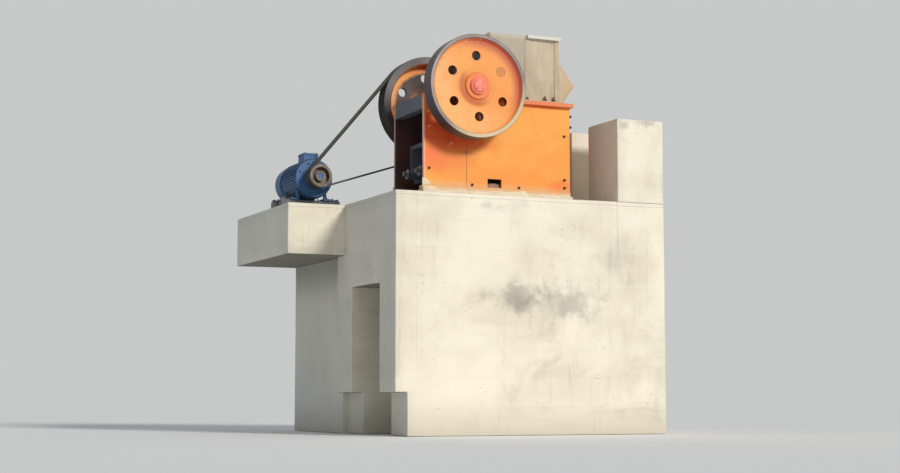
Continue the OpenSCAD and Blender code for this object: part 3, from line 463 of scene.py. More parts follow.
def heap(shape, centre, size, roughness):
    """A lump of mortar or dust, flattened underneath, knobbly on top, and not past the frame's end."""
    middle = Vector(centre)
    for v in bmesh.ops.create_icosphere(shape, subdivisions=4, radius=1.0)["verts"]:
        knob = 1.0 + roughness * noise.fractal(v.co * 1.7 + middle * 5.0, 0.8, 2.0, 4)
        flat_z = max(v.co.z, -0.15)
        v.co = middle + Vector((v.co.x * size[0] * knob, v.co.y * size[1], flat_z * size[2] * knob))
        v.co.x = max(v.co.x, frame_rear - 0.012 + 0.004 * v.co.y)


def turned_to(spot, facing):
    """Sets a part drawn up Z at a spot, facing another way."""
    return Matrix.Translation(spot) @ Vector(facing).to_track_quat("Z", "Y").to_matrix().to_4x4()


def swept(shape, rings, sides):
    """Joins rings to one run with closed ends; each ring is its radius and where it stands."""
    before = None
    for step, (radius, stand) in enumerate(rings):
        ring = bmesh.ops.create_circle(shape, cap_ends=step in (0, len(rings) - 1), segments=sides,
                                       radius=radius, matrix=stand)["verts"]
        edges = {e for v in ring for e in v.link_edges if all(w in ring for w in e.verts)}
        if before:
            bmesh.ops.bridge_loops(shape, edges=list(before | edges))
        before = edges


def bead(shape, start, end, pace, size_at, sides=6):
    """A run of mortar or weld metal laid from start to end, as thick as size_at says at each point."""
    start, end = Vector(start), Vector(end)
    steps = max(2, round((end - start).length / pace))
    spots = [start.lerp(end, step / steps) for step in range(steps + 1)]
    rings = [(size_at(step, spot), turned_to(spot, end - start)) for step, spot in enumerate(spots)]
    swept(shape, rings, sides)


def build(shape, name, material, *nodes, body="root", crease=32):
    """A piece drawn here: its shells are turned outwards, then it stands up."""
    bmesh.ops.recalc_face_normals(shape, faces=shape.faces)
    stand_up(shape, name, material, body, *nodes, crease=crease)


def squeezed_out(step, spot):
    """How far the mortar was squeezed from under the foot here."""
    return 0.006 + 0.013 * max(0.0, noise.fractal(spot * 3.1, 0.7, 2.0, 5) + 0.45) ** 1.4


HEAPS = (   # X, how far past the plate's face, how far below its foot, half sizes, how knobbly
    (frame_rear + 0.02, -0.004, 0.01, (0.11, 0.012, 0.165), 0.14),
    (frame_rear + 0.08, 0.016, 0.006, (0.15, 0.014, 0.04), 0.2),
    (0.53, 0.018, 0.006, (0.06, 0.014, 0.038), 0.35),
)
spilt = bmesh.new()
for side in (-1, 1):
    y = off(side, PLATE_FACE + 0.021)
    start, end = (frame_rear + 0.01, y, frame_foot), (frame_feed - 0.01, y, frame_foot)
    bead(spilt, start, end, 0.012, squeezed_out, sides=10)
    for x, past, below, size, knobs in HEAPS:
        heap(spilt, (x, off(side, PLATE_FACE + past), frame_foot - below), size, knobs)
build(spilt, "spilt_mortar", mortar, crease=60)

# Fine stone dust lies heaped on the feet inside the frame, and shows through the windows.

fines, tree, shader, place = finish_of("heaped_stone_fines", "concrete")
crumb = put(tree, "TexVoronoi", place, None, 95.0).outputs[0]
colour = layered(
    (0.42, 0.225, 0.16),
    (fade(grain(place, 11.0, 7.0, 0.7), 0.38, 0.64), (0.25, 0.13, 0.095)),
    (fade(crumb, 0.25, 0.55, 0.0, 0.4), (0.5, 0.32, 0.23)),
)
feed(shader, colour, 0.95)
relief(shader, plus(crumb, grain(place, 30.0, 6.0)), 0.8, 0.004)
dust_heaps = bmesh.new()
for side in (-1, 1):
    for x, length, rise in ((0.13, 0.15, 0.085), (-0.2, 0.12, 0.035), (0.24, 0.06, 0.06)):
        heap(dust_heaps, (x, off(side, 0.48), frame_foot + 0.048), (length, 0.032, rise), 0.22)
build(dust_heaps, "heaped_stone_dust", fines, crease=60)


# Side plates and flanges
# Two thick steel plates carry the whole machine. Each is welded to its foot, stiffened
# along the top by a flange, and painted orange; dust and sun have dulled the paint.


def painted(name, slot, fresh, faded, shade, chip, dust=0.5, streaks=0.3, gloss=0.42):
    """Old machine paint: faded in clouds, chipped at its edges, streaked and dusty."""
    material, tree, shader, place = finish_of(name, slot)
    cloud = grain(place, 1.4, 6.0, 0.6, 0.3)
    fine = grain(place, 26.0, 5.0, 0.65)
    scuff = fade(grain(stretched(place, 3.0, 3.0, 1.0), 3.1, 9.0, 0.72, 0.6), 0.64, 0.73)
    wear = use(tree, edge_wear, Reach=0.012, Breakup=11.0, Amount=0.85)
    lying = use(tree, settled_dust, Amount=dust, Patches=3.4)
    colour = layered(
        fresh,
        (fade(cloud, 0.36, 0.64), faded),
        (fade(fine, 0.56, 0.8, 0.0, 0.25), shade),
        (use(tree, rain_streaks, Width=0.035, Amount=streaks), shade),
        (times(scuff, 0.4), shade),
        (wear, chip),
        (lying, (0.5, 0.43, 0.34)),
    )
    rough = greatest(fade(cloud, 0.3, 0.7, gloss, gloss + 0.16), times(greatest(lying, wear), 0.9))
    feed(shader, colour, rough, specular=0.36)
    height = minus(times(grain(place, 55.0, 3.0), 0.35), wear)
    relief(shader, plus(height, times(cloud, 0.8)), 0.35, 0.004)
    return material


ORANGE = ((0.92, 0.32, 0.035), (0.95, 0.415, 0.07), (0.62, 0.13, 0.018), (0.25, 0.13, 0.08))
SHAFT_X, SHAFT_Z = -0.365, 4.95
SEAM_X, SEAM_TOP = -0.355, 4.19
WINDOW_X, WINDOW_Z = 0.09, 3.602
PLATE_STAINS_AND_SHADE = (   # X and Z of the middle, half length, half height, blur, amount, colour
    # The next three rows redden the plate's left, partly as painted shade below the flywheel.
    (-0.8, 3.98, 0.44, 0.4, 0.15, 0.7, (0.9, 0.175, 0.04)),
    (-0.52, 4.0, 0.42, 0.3, 0.15, 0.55, (0.86, 0.19, 0.045)),
    (-0.92, 4.02, 0.2, 0.36, 0.2, 0.5, (0.93, 0.15, 0.03)),
    # Painted shadow under the top flange.
    (0.92, 4.83, 0.55, 0.075, 0.25, 0.8, (0.85, 0.105, 0.025)),
    # The next two rows are the flywheel's painted shadow on the plate.
    (-0.72, 4.42, 0.75, 0.42, 0.35, 0.88, (0.74, 0.07, 0.02)),
    (-0.35, 4.22, 0.64, 0.21, 0.15, 0.88, (0.8, 0.085, 0.022)),
    # Painted shade behind the flywheel, with grease round the bearing.
    (-0.3, 4.76, 0.71, 0.42, 0.55, 0.82, (0.16, 0.045, 0.022)),
    (1.2, 3.62, 0.36, 0.17, 0.1, 0.7, (0.9, 0.18, 0.03)),
    (-0.335, 4.045, 0.19, 0.05, 0.1, 0.55, (0.4, 0.11, 0.04)),
    (0.694, 3.77, 0.06, 0.028, 0.1, 0.45, (0.55, 0.22, 0.08)),
)

orange_paint = painted("orange_machine_paint", "orange_paint", *ORANGE, dust=0.35, streaks=0.26)
plate_paint = painted("side_plate_paint", "orange_paint", *ORANGE, dust=0.35, streaks=0.2)
tree = plate_paint.node_tree
place = object_place(tree)
x, y, z = parts_of(place)
# Each row is laid over the plate's paint: its stains and its painted shade.
for stain_or_shade_x, stain_or_shade_z, length, rise, blur, amount, colour in PLATE_STAINS_AND_SHADE:
    stain_or_shade = patch(place, (stain_or_shade_x, middle_y, stain_or_shade_z), (length, 3.0, rise), blur, 1.1)
    lay_over(plate_paint, (times(stain_or_shade, amount), colour))
seam = times(fade(apart(x, SEAM_X), 0.0085, 0.0035), fade(z, SEAM_TOP, SEAM_TOP - 0.03, 0.0, 0.75))
# Near the plates' rear ends: dust with a painted highlight, in pale pink.
end_dust_and_highlight = times(fade(x, frame_rear + 0.03, frame_rear + 0.004),
                 fade(grain(place, 5.0, 6.0), 0.3, 0.55, 0.7, 0.95))
across = looks(tree)[1]
inward = fade(times(across, minus(middle_y, y)), 0.15, 0.35)
# The window's reveal, for its painted shade.
reveal = times(fade(maths("ABSOLUTE", across), 0.6, 0.3),
               fade(apart(x, WINDOW_X), 0.14, 0.12), fade(apart(z, WINDOW_Z), 0.11, 0.09))
ragged_z = plus(z, times(grain(place, 4.0, 7.0, 0.7), 0.16))
lay_over(
    plate_paint,
    (seam, (0.26, 0.065, 0.018)),
    (end_dust_and_highlight, (0.95, 0.5, 0.4)),
    # Painted shade: on the far plate the rear end is grey-mauve instead.
    (times(end_dust_and_highlight, fade(y, middle_y, middle_y + 0.1, 0.0, 0.85)), (0.42, 0.3, 0.3)),
    # Painted shade: the plates' inner faces are laid nearly black, bluish.
    (times(inward, fade(grain(place, 1.8, 6.0, 0.7), 0.28, 0.62, 0.99, 0.9)),
     (0.02, 0.021, 0.03)),
    # Painted shade in the window's reveal, dark red.
    (reveal, (0.5, 0.085, 0.03)),
    (times(fade(ragged_z, 3.73, 3.59), 0.72), (0.76, 0.49, 0.26)),
)


def steelwork(node, material, edge=0.003, segments=2, sharp=28, shape=None, hardened=True):
    """A CAD piece with its edges eased, in its own finish; shape stands for its skin if one is given."""
    piece = stand_up(shape or own_copy(node), node + "_finished", material,
                     body_of(frame["nodes"][node])[0], node, crease=sharp)
    if edge:
        eased = piece.modifiers.new("eased_edges", "BEVEL")
        eased.width = edge
        eased.segments = segments
        eased.limit_method = "ANGLE"
        eased.angle_limit = math.radians(sharp)
        eased.harden_normals = hardened


for node in ("near_side_plate", "far_side_plate"):
    steelwork(node, plate_paint, 0.004)
flange_paint = painted("top_flange_paint", "orange_paint", (0.78, 0.185, 0.06), (0.84, 0.25, 0.1),
                       (0.54, 0.095, 0.03), (0.25, 0.12, 0.08), dust=0.22, streaks=0.2)
for node in ("near_top_flange", "far_top_flange"):
    steelwork(node, flange_paint, 0.005)

# Hexagon bolts: washer, head and the thread's end, in the finish of the piece they hold.

UP = (0, 0, 1)
FEEDWARD = (1, 0, 0)


def bolt(shape, spot, facing, across, turn=0.0, thread=0.5):
    """One hexagon bolt or nut; across is its width over the flats, the rest in shares of it."""
    seat = turned_to(spot, facing) @ Matrix.Rotation(turn, 4, "Z")
    corner = across / math.sqrt(3)
    for low, high, foot, top, sides in (
        (0.0, 0.12, across * 0.62, across * 0.62, 20),
        (0.12, 0.62, corner, corner, 6),
        (0.62, 0.76, corner, corner * 0.8, 6),
        (0.76, 0.76 + thread, across * 0.3, across * 0.27, 12),
    ):
        if high > low + 0.001:
            bmesh.ops.create_cone(shape, cap_ends=True, segments=sides, radius1=foot, radius2=top,
                                  depth=(high - low) * across,
                                  matrix=seat @ Matrix.Translation((0, 0, (low + high) / 2 * across)))


def bolt_ring(shape, middle, ring, count, side, across, thread=0.0, first=0.5):
    """Bolts set evenly on a ring round a middle, on a face that looks to one side."""
    for step in range(count):
        turn = (step + first) * math.tau / count
        spot = (middle[0] + ring * math.cos(turn), middle[1], middle[2] + ring * math.sin(turn))
        bolt(shape, spot, (0, side, 0), across, turn=turn, thread=thread)


def weld(shape, start, end, size):
    """A fillet of weld metal, rippled by the passes of the torch."""
    bead(shape, start, end, 0.012, lambda step, spot: size * (1.0 if step % 2 else 0.8))


def bolt_finish(name, clean, rusty):
    """Oily bolts, browned by rust, with the corners of their heads rubbed."""
    material, tree, shader, place = finish_of(name, "cast_steel")
    colour = layered(
        clean,
        (fade(grain(place, 38.0, 5.0), 0.42, 0.62), rusty),
        (use(tree, edge_wear, Reach=0.004, Breakup=30.0, Amount=0.7), (0.24, 0.2, 0.17)),
    )
    feed(shader, colour, fade(grain(place, 24.0, 4.0), 0.3, 0.7, 0.42, 0.72), metallic=0.4)
    relief(shader, grain(place, 90.0, 4.0), 0.4, 0.002)
    return material


dark_bolt = bolt_finish("oily_black_bolts", (0.055, 0.04, 0.034), (0.12, 0.055, 0.03))
red_bolt = painted("painted_over_bolts", "orange_paint", (0.96, 0.24, 0.12), (0.98, 0.32, 0.18),
                   (0.6, 0.11, 0.04), (0.4, 0.12, 0.06), dust=0.05, streaks=0.1)

FLANGE_UNDERSIDE = 4.813
FLANGE_WELDS = ((frame_rear + 0.01, -0.735), (0.02, frame_feed - 0.01))
DARK_BOLTS = (   # X and Z on a side plate's face
    (1.235, 4.385), (1.235, 3.733), (1.235, 3.615), (-0.946, 3.793), (-0.268, 3.585), (0.484, 3.58),
)
RED_BOLTS = (   # X, Z, width and turn
    (-0.613, 4.169, 0.052, 0.0),
    (-0.946, 4.4, 0.038, 4.4),
    (-0.946, 4.62, 0.038, 4.62),
)
FOOT_BOLT_XS, FOOT_BOLT_AWAY = (-0.93, -0.55, -0.12), 0.455
bolted, holding, welded = bmesh.new(), bmesh.new(), bmesh.new()
for side in (-1, 1):
    face_y = off(side, PLATE_FACE)
    out = (0, side, 0)
    for x, z in DARK_BOLTS:
        bolt(holding, (x, face_y, z), out, 0.032, x)
    for x, z, across, turn in RED_BOLTS:
        bolt(bolted, (x, face_y, z), out, across, turn)
    for x in FOOT_BOLT_XS:
        bolt(holding, (x, off(side, FOOT_BOLT_AWAY), FOOT_TOP), UP, 0.05, turn=x, thread=1.2)
    weld(welded, (frame_rear + 0.02, face_y, FOOT_TOP), (frame_feed - 0.02, face_y, FOOT_TOP), 0.012)
    for start, end in FLANGE_WELDS:
        weld(welded, (start, face_y, FLANGE_UNDERSIDE), (end, face_y, FLANGE_UNDERSIDE), 0.01)
build(bolted, "side_plate_bolts", red_bolt)
build(holding, "holding_bolts", dark_bolt)
build(welded, "side_plate_welds", plate_paint)


# Front wall and cross beams
# The feed end is a heavy ribbed wall that takes the crushing load. At the rear a channel
# ties the plates together, and a pocketed beam stands behind the toggle; both are grey.

grey_paint = painted("grey_blue_paint", "grey_paint", (0.105, 0.118, 0.145), (0.15, 0.165, 0.19),
                     (0.055, 0.06, 0.072), (0.15, 0.09, 0.06), dust=0.85, streaks=0.45, gloss=0.52)
steelwork("front_wall", orange_paint, 0.004)
for node in ("rear_cross_beam", "toggle_beam"):
    steelwork(node, grey_paint, 0.004)

WALL_PANEL_X = 1.18
PANEL_BOLT_YS, PANEL_BOLT_ZS = (-1.477, -1.135, -0.793), (3.731, 4.052, 4.373, 4.694)
STUD_AWAY, STUD_ZS = 0.537, (4.534, 4.694, 4.855)
RIB_ZS = (3.591, 3.912, 4.234, 4.555)
REAR_BEAM_FOOT, REAR_BEAM_TOP = 4.66, 4.87
wall_bolts, wall_studs, wall_welds = bmesh.new(), bmesh.new(), bmesh.new()
for y in PANEL_BOLT_YS:
    for z in PANEL_BOLT_ZS:
        bolt(wall_bolts, (WALL_PANEL_X, y, z), FEEDWARD, 0.055, turn=y + z, thread=0.6)
for side in (-1, 1):
    for z in STUD_ZS:
        bolt(wall_studs, (frame_feed, off(side, STUD_AWAY), z), FEEDWARD, 0.04, turn=z, thread=0.45)
    inner_y = off(side, PLATE_INSIDE)
    for z in RIB_ZS:
        weld(wall_welds, (WALL_PANEL_X, inner_y, z), (frame_feed - 0.01, inner_y, z), 0.009)
    x = frame_rear + 0.001
    weld(wall_welds, (x, inner_y, REAR_BEAM_FOOT), (x, inner_y, REAR_BEAM_TOP), 0.009)
build(wall_bolts, "front_wall_bolts", orange_paint)
build(wall_studs, "front_wall_studs", dark_bolt)
build(wall_welds, "front_wall_welds", orange_paint)


# Jaw and cheek plates
# Manganese steel castings line the crushing chamber: toothed plates on both jaws and flat
# cheeks between them. The stone keeps the teeth bright; the hollows stay dark and dusty.


def worked_metal(name, slot, dark, bright, grime, rub_reach=0.01, rub=0.8, rust=0.25, dust=0.4, rough=0.42,
                 metallic=0.85, coarse=9.0, lay=(1.0, 1.0, 1.0)):
    """Bare iron or steel: rubbed bright on its edges, grimy between, with thin rust and dust."""
    material, tree, shader, place = finish_of(name, slot)
    skin = grain(stretched(place, *lay), coarse, 8.0, 0.65, 0.3)
    pitted = grain(place, coarse * 6.0, 4.0, 0.6)
    dirty = fade(grain(place, 2.7, 7.0, 0.7, 0.5), 0.46, 0.64)
    rusty = times(fade(grain(place, 6.5, 9.0, 0.75, 0.8), 0.54, 0.66), rust)
    lying = use(tree, settled_dust, Amount=dust, Patches=4.0)
    colour = layered(
        dark,
        (fade(skin, 0.35, 0.65), tuple((a + b) / 2 for a, b in zip(dark, bright))),
        (times(dirty, 0.75), grime),
        (rusty, (0.26, 0.095, 0.035)),
        (use(tree, edge_wear, Reach=rub_reach, Breakup=5.0, Amount=rub), bright),
        (lying, (0.42, 0.37, 0.3)),
    )
    dull = greatest(times(dirty, 0.6), rusty, lying)
    feed(shader, colour, fade(dull, 0.0, 0.8, rough, 0.92), fade(dull, 0.0, 0.8, metallic, 0.05))
    relief(shader, plus(times(skin, 0.8), times(pitted, 0.35)), 0.5, 0.004)
    return material


manganese = worked_metal(
    "rubbed_manganese_steel", "jaw_steel", (0.17, 0.155, 0.14), (0.52, 0.5, 0.47), (0.13, 0.105, 0.08),
    rub_reach=0.03, rub=0.95, rust=0.3, dust=0.75, coarse=14.0, lay=(1.0, 1.0, 0.35))
for node in ("fixed_jaw_plate", "swing_jaw_plate"):
    steelwork(node, manganese, 0.006, segments=3)
for node in ("near_cheek_plate", "far_cheek_plate"):
    steelwork(node, manganese, 0.005)

CHEEK_FACE, CHEEK_BOLTS = 0.4675, ((0.86, 4.7), (0.95, 4.3), (0.97, 3.9))
FLUSH_BOLT = (   # sides, radius at the foot and the top, depth, how far out: the head and its socket
    (24, 0.03, 0.026, 0.008, 0.003),
    (4, 0.012, 0.012, 0.01, 0.006),
)
cheek_bolts = bmesh.new()
for side in (-1, 1):
    for x, z in CHEEK_BOLTS:
        seat = turned_to((x, off(side, CHEEK_FACE), z), (0, -side, 0))
        for sides, foot, top, depth, rise in FLUSH_BOLT:
            bmesh.ops.create_cone(cheek_bolts, cap_ends=True, segments=sides, radius1=foot, radius2=top,
                                  depth=depth, matrix=seat @ Matrix.Translation((0, 0, rise)))
build(cheek_bolts, "cheek_plate_bolts", manganese)


# Swing jaw
# One big ribbed casting hung on the shaft, sand-cast and never painted behind, caked with
# dust and old grease where the ribs meet the slab.

dirty_casting = worked_metal(
    "dirty_casting", "cast_steel", (0.115, 0.085, 0.065), (0.3, 0.27, 0.24), (0.075, 0.05, 0.036),
    rub=0.55, rust=0.55, dust=0.85, rough=0.58, metallic=0.45, coarse=7.0)
steelwork("swing_jaw", dirty_casting, 0.006, segments=3)


# Toggle plate and its seat
# The toggle plate rocks between two grooved seats and pushes the swing jaw; thin shims
# behind the rear seat set the outlet. Only the beads' ends are rubbed bright.

toggle_iron = worked_metal(
    "toggle_iron", "cast_steel", (0.15, 0.125, 0.105), (0.42, 0.39, 0.35), (0.085, 0.062, 0.048),
    rust=0.4, dust=0.9, rough=0.5, metallic=0.6, coarse=8.0)
for node in ("toggle_plate", "toggle_seat"):
    steelwork(node, toggle_iron)


# Tension rods and springs
# Two turned rods hold the swing jaw against the toggle plate; each pulls through a coil
# spring, wound from round wire with its end coils closed and ground flat.

oily_rod = worked_metal(
    "oily_turned_rod", "rod_steel", (0.24, 0.235, 0.23), (0.55, 0.54, 0.52), (0.11, 0.085, 0.062),
    rub_reach=0.004, rust=0.35, dust=0.55, rough=0.34, metallic=0.9, coarse=22.0, lay=(1.0, 4.0, 4.0))
steelwork("tension_rods", oily_rod, 0.0015)

spring_paint = painted("spring_paint", "spring_steel", (0.085, 0.115, 0.19), (0.12, 0.15, 0.22),
                       (0.04, 0.048, 0.075), (0.16, 0.12, 0.1), dust=0.6, streaks=0.0, gloss=0.45)
SPRING_COILS, SPRING_ENDS = 5, 0.75
SPRING_WIRE, SPRING_ACROSS, SPRING_LENGTH = 0.024, 0.13, 0.22
ROD_AWAY = 0.23
ROD_FALL, ROD_RUN = 3.8 - 3.665, 1.4354
STEPS_A_TURN = 32
CLOSED_PITCH = 0.2   # of an end coil, as a share of an open one's
spring_middle = sum(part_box("tension_springs"), Vector()) / 2
fall = math.atan2(ROD_FALL, ROD_RUN)
along_rod = Vector((math.cos(fall), 0, -math.sin(fall)))
turns = SPRING_COILS + 2 * SPRING_ENDS
pitch = (SPRING_LENGTH - SPRING_WIRE) / (SPRING_COILS + 2 * SPRING_ENDS * CLOSED_PITCH)
coiled = bmesh.new()
for side in (-1, 1):
    middle = Vector((spring_middle.x, off(side, ROD_AWAY), spring_middle.z))
    seat = turned_to(middle - along_rod * SPRING_LENGTH / 2, along_rod)
    rings, height = [], SPRING_WIRE / 2
    for step in range(round(turns * STEPS_A_TURN) + 1):
        turn = step / STEPS_A_TURN
        out = Matrix.Translation(((SPRING_ACROSS - SPRING_WIRE) / 2, 0, height))
        round_axis = Matrix.Rotation(turn * math.tau, 4, "Z")
        rings.append((SPRING_WIRE / 2, seat @ (round_axis @ out) @ Matrix.Rotation(math.pi / 2, 4, "X")))
        in_end = turn < SPRING_ENDS or turn > turns - SPRING_ENDS
        height += pitch / STEPS_A_TURN * (CLOSED_PITCH if in_end else 1.0)
    swept(coiled, rings, 12)
build(coiled, "coil_springs", spring_paint, "tension_springs", crease=50)


# Bearing housings and shaft
# Cast housings sit in the plates' tops on ribbed ears and hold the roller bearings. The
# eccentric shaft is turned and ground, and shines with grease where it shows.

for node in ("near_bearing_housing", "far_bearing_housing"):
    steelwork(node, orange_paint, 0.004)
greased_shaft = worked_metal(
    "greased_shaft", "shaft_steel", (0.3, 0.29, 0.28), (0.62, 0.61, 0.59), (0.12, 0.085, 0.05),
    rub_reach=0.003, rub=0.6, rust=0.15, dust=0.25, rough=0.26, metallic=0.95, coarse=26.0,
    lay=(1.0, 0.2, 1.0))
steelwork("eccentric_shaft", greased_shaft)

HOUSING_FACE, HOUSING_BOLT_RING = 0.6825, 0.2165
EAR_MIDDLE, EAR_BOLT_X, EAR_TOP = 0.5775, 0.292, SHAFT_Z + 0.06
housing_bolts = bmesh.new()
for side in (-1, 1):
    bolt_ring(housing_bolts, (SHAFT_X, off(side, HOUSING_FACE), SHAFT_Z), HOUSING_BOLT_RING, 8, side, 0.021)
    for way in (-1, 1):
        spot = (SHAFT_X + way * EAR_BOLT_X, off(side, EAR_MIDDLE), EAR_TOP)
        bolt(housing_bolts, spot, UP, 0.036, thread=0.6)
build(housing_bolts, "bearing_housing_bolts", orange_paint)


# Flywheel and grooved wheel
# Two iron castings of 1.5 m turn on the shaft: a plain flywheel on the near side and one
# grooved for the V-belts on the far side. The dished webs are orange, the rims bare.

WHEEL_RADIUS = 0.75
HOLE_RING = 0.44
CAP_EDGE = 0.196
PLUGGED_HOLE = (SHAFT_X + 0.369, 0.0, SHAFT_Z + 0.24)


def wheel_finish(name, rim_in, rim_iron):
    """Orange paint over a casting, with a bare turned rim from rim_in outwards."""
    material = painted(name, "wheel_paint", (0.88, 0.285, 0.048), (0.92, 0.375, 0.09), (0.72, 0.165, 0.03),
                       (0.3, 0.16, 0.1), dust=0.1, streaks=0.1, gloss=0.4)
    tree = material.node_tree
    place = object_place(tree)
    spoke = put(tree, "Mapping", place, (-SHAFT_X, 0.0, -SHAFT_Z), None, (1.0, 0.0, 1.0)).outputs[0]
    radius = put(tree, "VectorMath", spoke, operation="LENGTH").outputs[1]
    x, _, z = parts_of(spoke)
    ragged = plus(radius, times(minus(grain(place, 16.0, 6.0, 0.7), 0.5), 0.012))
    upper_right = plus(times(x, 0.75), times(z, 0.66))
    low_right = minus(times(x, 0.5), times(z, 0.866))
    yellowed = times(fade(ragged, rim_in - 0.44, rim_in - 0.22),
                     fade(upper_right, 0.15, -0.35, 0.0, 0.75),
                     fade(grain(place, 4.2, 7.0, 0.7), 0.34, 0.58, 0.35, 1.0))
    # Painted shadow of the rim on the web's upper right.
    red = times(fade(ragged, rim_in - 0.19, rim_in - 0.03), fade(upper_right, 0.0, 0.48, 0.0, 0.95))
    chipped = times(fade(ragged, rim_in - 0.16, rim_in - 0.06),
                    fade(minus(z, x), 0.45, 0.75),
                    fade(grain(place, 21.0, 5.0, 0.6), 0.56, 0.66, 0.0, 0.7))
    plugged = patch(place, PLUGGED_HOLE, (0.066, 9.0, 0.066), 0.75, 0.35)
    across = looks(tree)[1]
    side = minus(parts_of(place)[1], middle_y)
    # The wheels' inner faces are laid nearly black inside a ragged radius of about half a metre.
    inner_dark_edge = plus(radius, times(grain(place, 6.0, 7.0, 0.7), 0.1))
    inner_face_dark = times(fade(times(across, side), 0.0, -0.2), fade(inner_dark_edge, 0.6, 0.53),
                   fade(grain(place, 2.6, 6.0, 0.7), 0.3, 0.6, 0.99, 0.93))
    # Painted shade on the walls of the web's holes.
    in_holes = times(fade(maths("ABSOLUTE", across), 0.5, 0.3), fade(apart(radius, HOLE_RING), 0.1, 0.09))
    # A dark ring round the boss: faint grime all round, and the boss's painted shadow to the lower left.
    hub_grime_and_shadow = times(fade(apart(ragged, 0.24), 0.08, 0.018), fade(upper_right, 0.06, -0.14, 0.14, 0.92))
    turned = put(tree, "TexNoise", None, radius, 420.0, 3.0, 0.7, noise_dimensions="1D").outputs[0]
    bare = fade(ragged, rim_in - 0.004, rim_in + 0.004)
    rubbed = times(bare, fade(low_right, 0.2, 0.66, 0.0, 0.85))
    tread = fade(radius, WHEEL_RADIUS - 0.0075, WHEEL_RADIUS - 0.0025)
    lay_over(
        material,
        (yellowed, (0.9, 0.475, 0.17)),
        # Painted rim shadow.
        (red, (0.5, 0.075, 0.032)),
        (chipped, (0.92, 0.5, 0.36)),
        (fade(radius, CAP_EDGE, CAP_EDGE - 0.008, 0.0, 0.8), (0.84, 0.205, 0.065)),
        (times(plugged, 0.7), (0.46, 0.19, 0.065)),
        (inner_face_dark, (0.022, 0.021, 0.028)),
        (in_holes, (0.07, 0.024, 0.014)),
        (hub_grime_and_shadow, (0.56, 0.125, 0.022)),
        (bare, rim_iron),
        (times(bare, fade(turned, 0.45, 0.75, 0.0, 0.35)), tuple(c * 1.6 for c in rim_iron)),
        (times(bare, fade(upper_right, 0.1, 0.6, 0.0, 0.45)), (0.19, 0.135, 0.125)),
        (rubbed, (0.66, 0.53, 0.33)),
        (times(tread, 0.85), (0.05, 0.045, 0.052)),
        (times(tread, fade(grain(place, 7.0, 8.0, 0.75), 0.52, 0.68, 0.0, 0.6)),
         (0.19, 0.1, 0.065)),
        (times(use(tree, settled_dust, Amount=0.5, Patches=6.0), bare), (0.4, 0.35, 0.28)),
    )
    give(tree.nodes["Principled BSDF"].inputs["Metallic"], times(bare, fade(rubbed, 0.0, 0.6, 0.55, 0.1)))
    return material


steelwork("near_flywheel", wheel_finish("flywheel_finish", 0.69, (0.185, 0.15, 0.15)))
steelwork("far_grooved_wheel", wheel_finish("grooved_wheel_finish", 0.64, (0.085, 0.078, 0.08)), 0.0015)


# Shaft covers
# Spun sheet caps, painted a pinker orange than the wheels, are screwed over the shaft's
# ends and turn with them.

cover_paint = painted("salmon_cover_paint", "cover_paint", (0.95, 0.2, 0.125), (0.97, 0.255, 0.18),
                      (0.78, 0.11, 0.06), (0.36, 0.15, 0.11), dust=0.12, streaks=0.0, gloss=0.36)
tree = cover_paint.node_tree
flaked = grain(stretched(object_place(tree), 1.0, 1.0, 2.2), 14.0, 5.0, 0.6, 1.5)
lay_over(cover_paint, (fade(flaked, 0.58, 0.68, 0.0, 0.45), (0.97, 0.5, 0.42)))
for node in ("near_shaft_cover", "far_shaft_cover"):
    steelwork(node, cover_paint, 0.002)
COVER_SCREW_RING = 0.07
cover_screws = bmesh.new()
for side in (-1, 1):
    low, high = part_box("near_shaft_cover" if side < 0 else "far_shaft_cover")
    y = low.y if side < 0 else high.y
    bolt_ring(cover_screws, (SHAFT_X, y, SHAFT_Z), COVER_SCREW_RING, 4, side, 0.018)
build(cover_screws, "shaft_cover_screws", cover_paint, body="rotor")


# V-belts and motor pulley
# Five rubber V-belts run from the motor's cast pulley to the grooved wheel. Their fabric
# jackets are polished on the flanks and grey with dust on the backs.

belt_rubber, tree, shader, place = finish_of("dusty_belt_rubber", "belt_rubber")
jacket = put(tree, "TexWave", place, 210.0, 1.5, 2.0, 1.5,
             wave_type="BANDS", bands_direction="DIAGONAL").outputs[1]
powder = fade(grain(place, 3.2, 8.0, 0.72, 0.6), 0.42, 0.68)
colour = layered(
    (0.02, 0.02, 0.021),
    (times(powder, 0.55), (0.115, 0.1, 0.082)),
    (fade(jacket, 0.3, 0.8, 0.0, 0.2), (0.06, 0.056, 0.052)),
    (use(tree, settled_dust, Amount=0.55, Patches=7.0), (0.26, 0.225, 0.18)),
)
feed(shader, colour, fade(powder, 0.0, 1.0, 0.5, 0.85))
relief(shader, jacket, 0.35, 0.0012)
steelwork("v_belts", belt_rubber, 0.002)
steelwork("motor_pulley", dirty_casting, 0.0015)


# Drive motor on slide rails
# A ribbed iron motor painted blue, with its cable box, lifting eye and slotted fan cowl,
# slides on two steel rails to tighten the belts.

motor_blue = painted("blue_motor_paint", "motor_paint", (0.03, 0.115, 0.285), (0.05, 0.15, 0.32),
                     (0.014, 0.05, 0.125), (0.13, 0.085, 0.06), dust=0.8, streaks=0.35, gloss=0.4)
steelwork("motor_body", motor_blue, 0.0015, segments=1)
steelwork("motor_fan_cowl", motor_blue, 0)
steelwork("motor_rails", grey_paint)

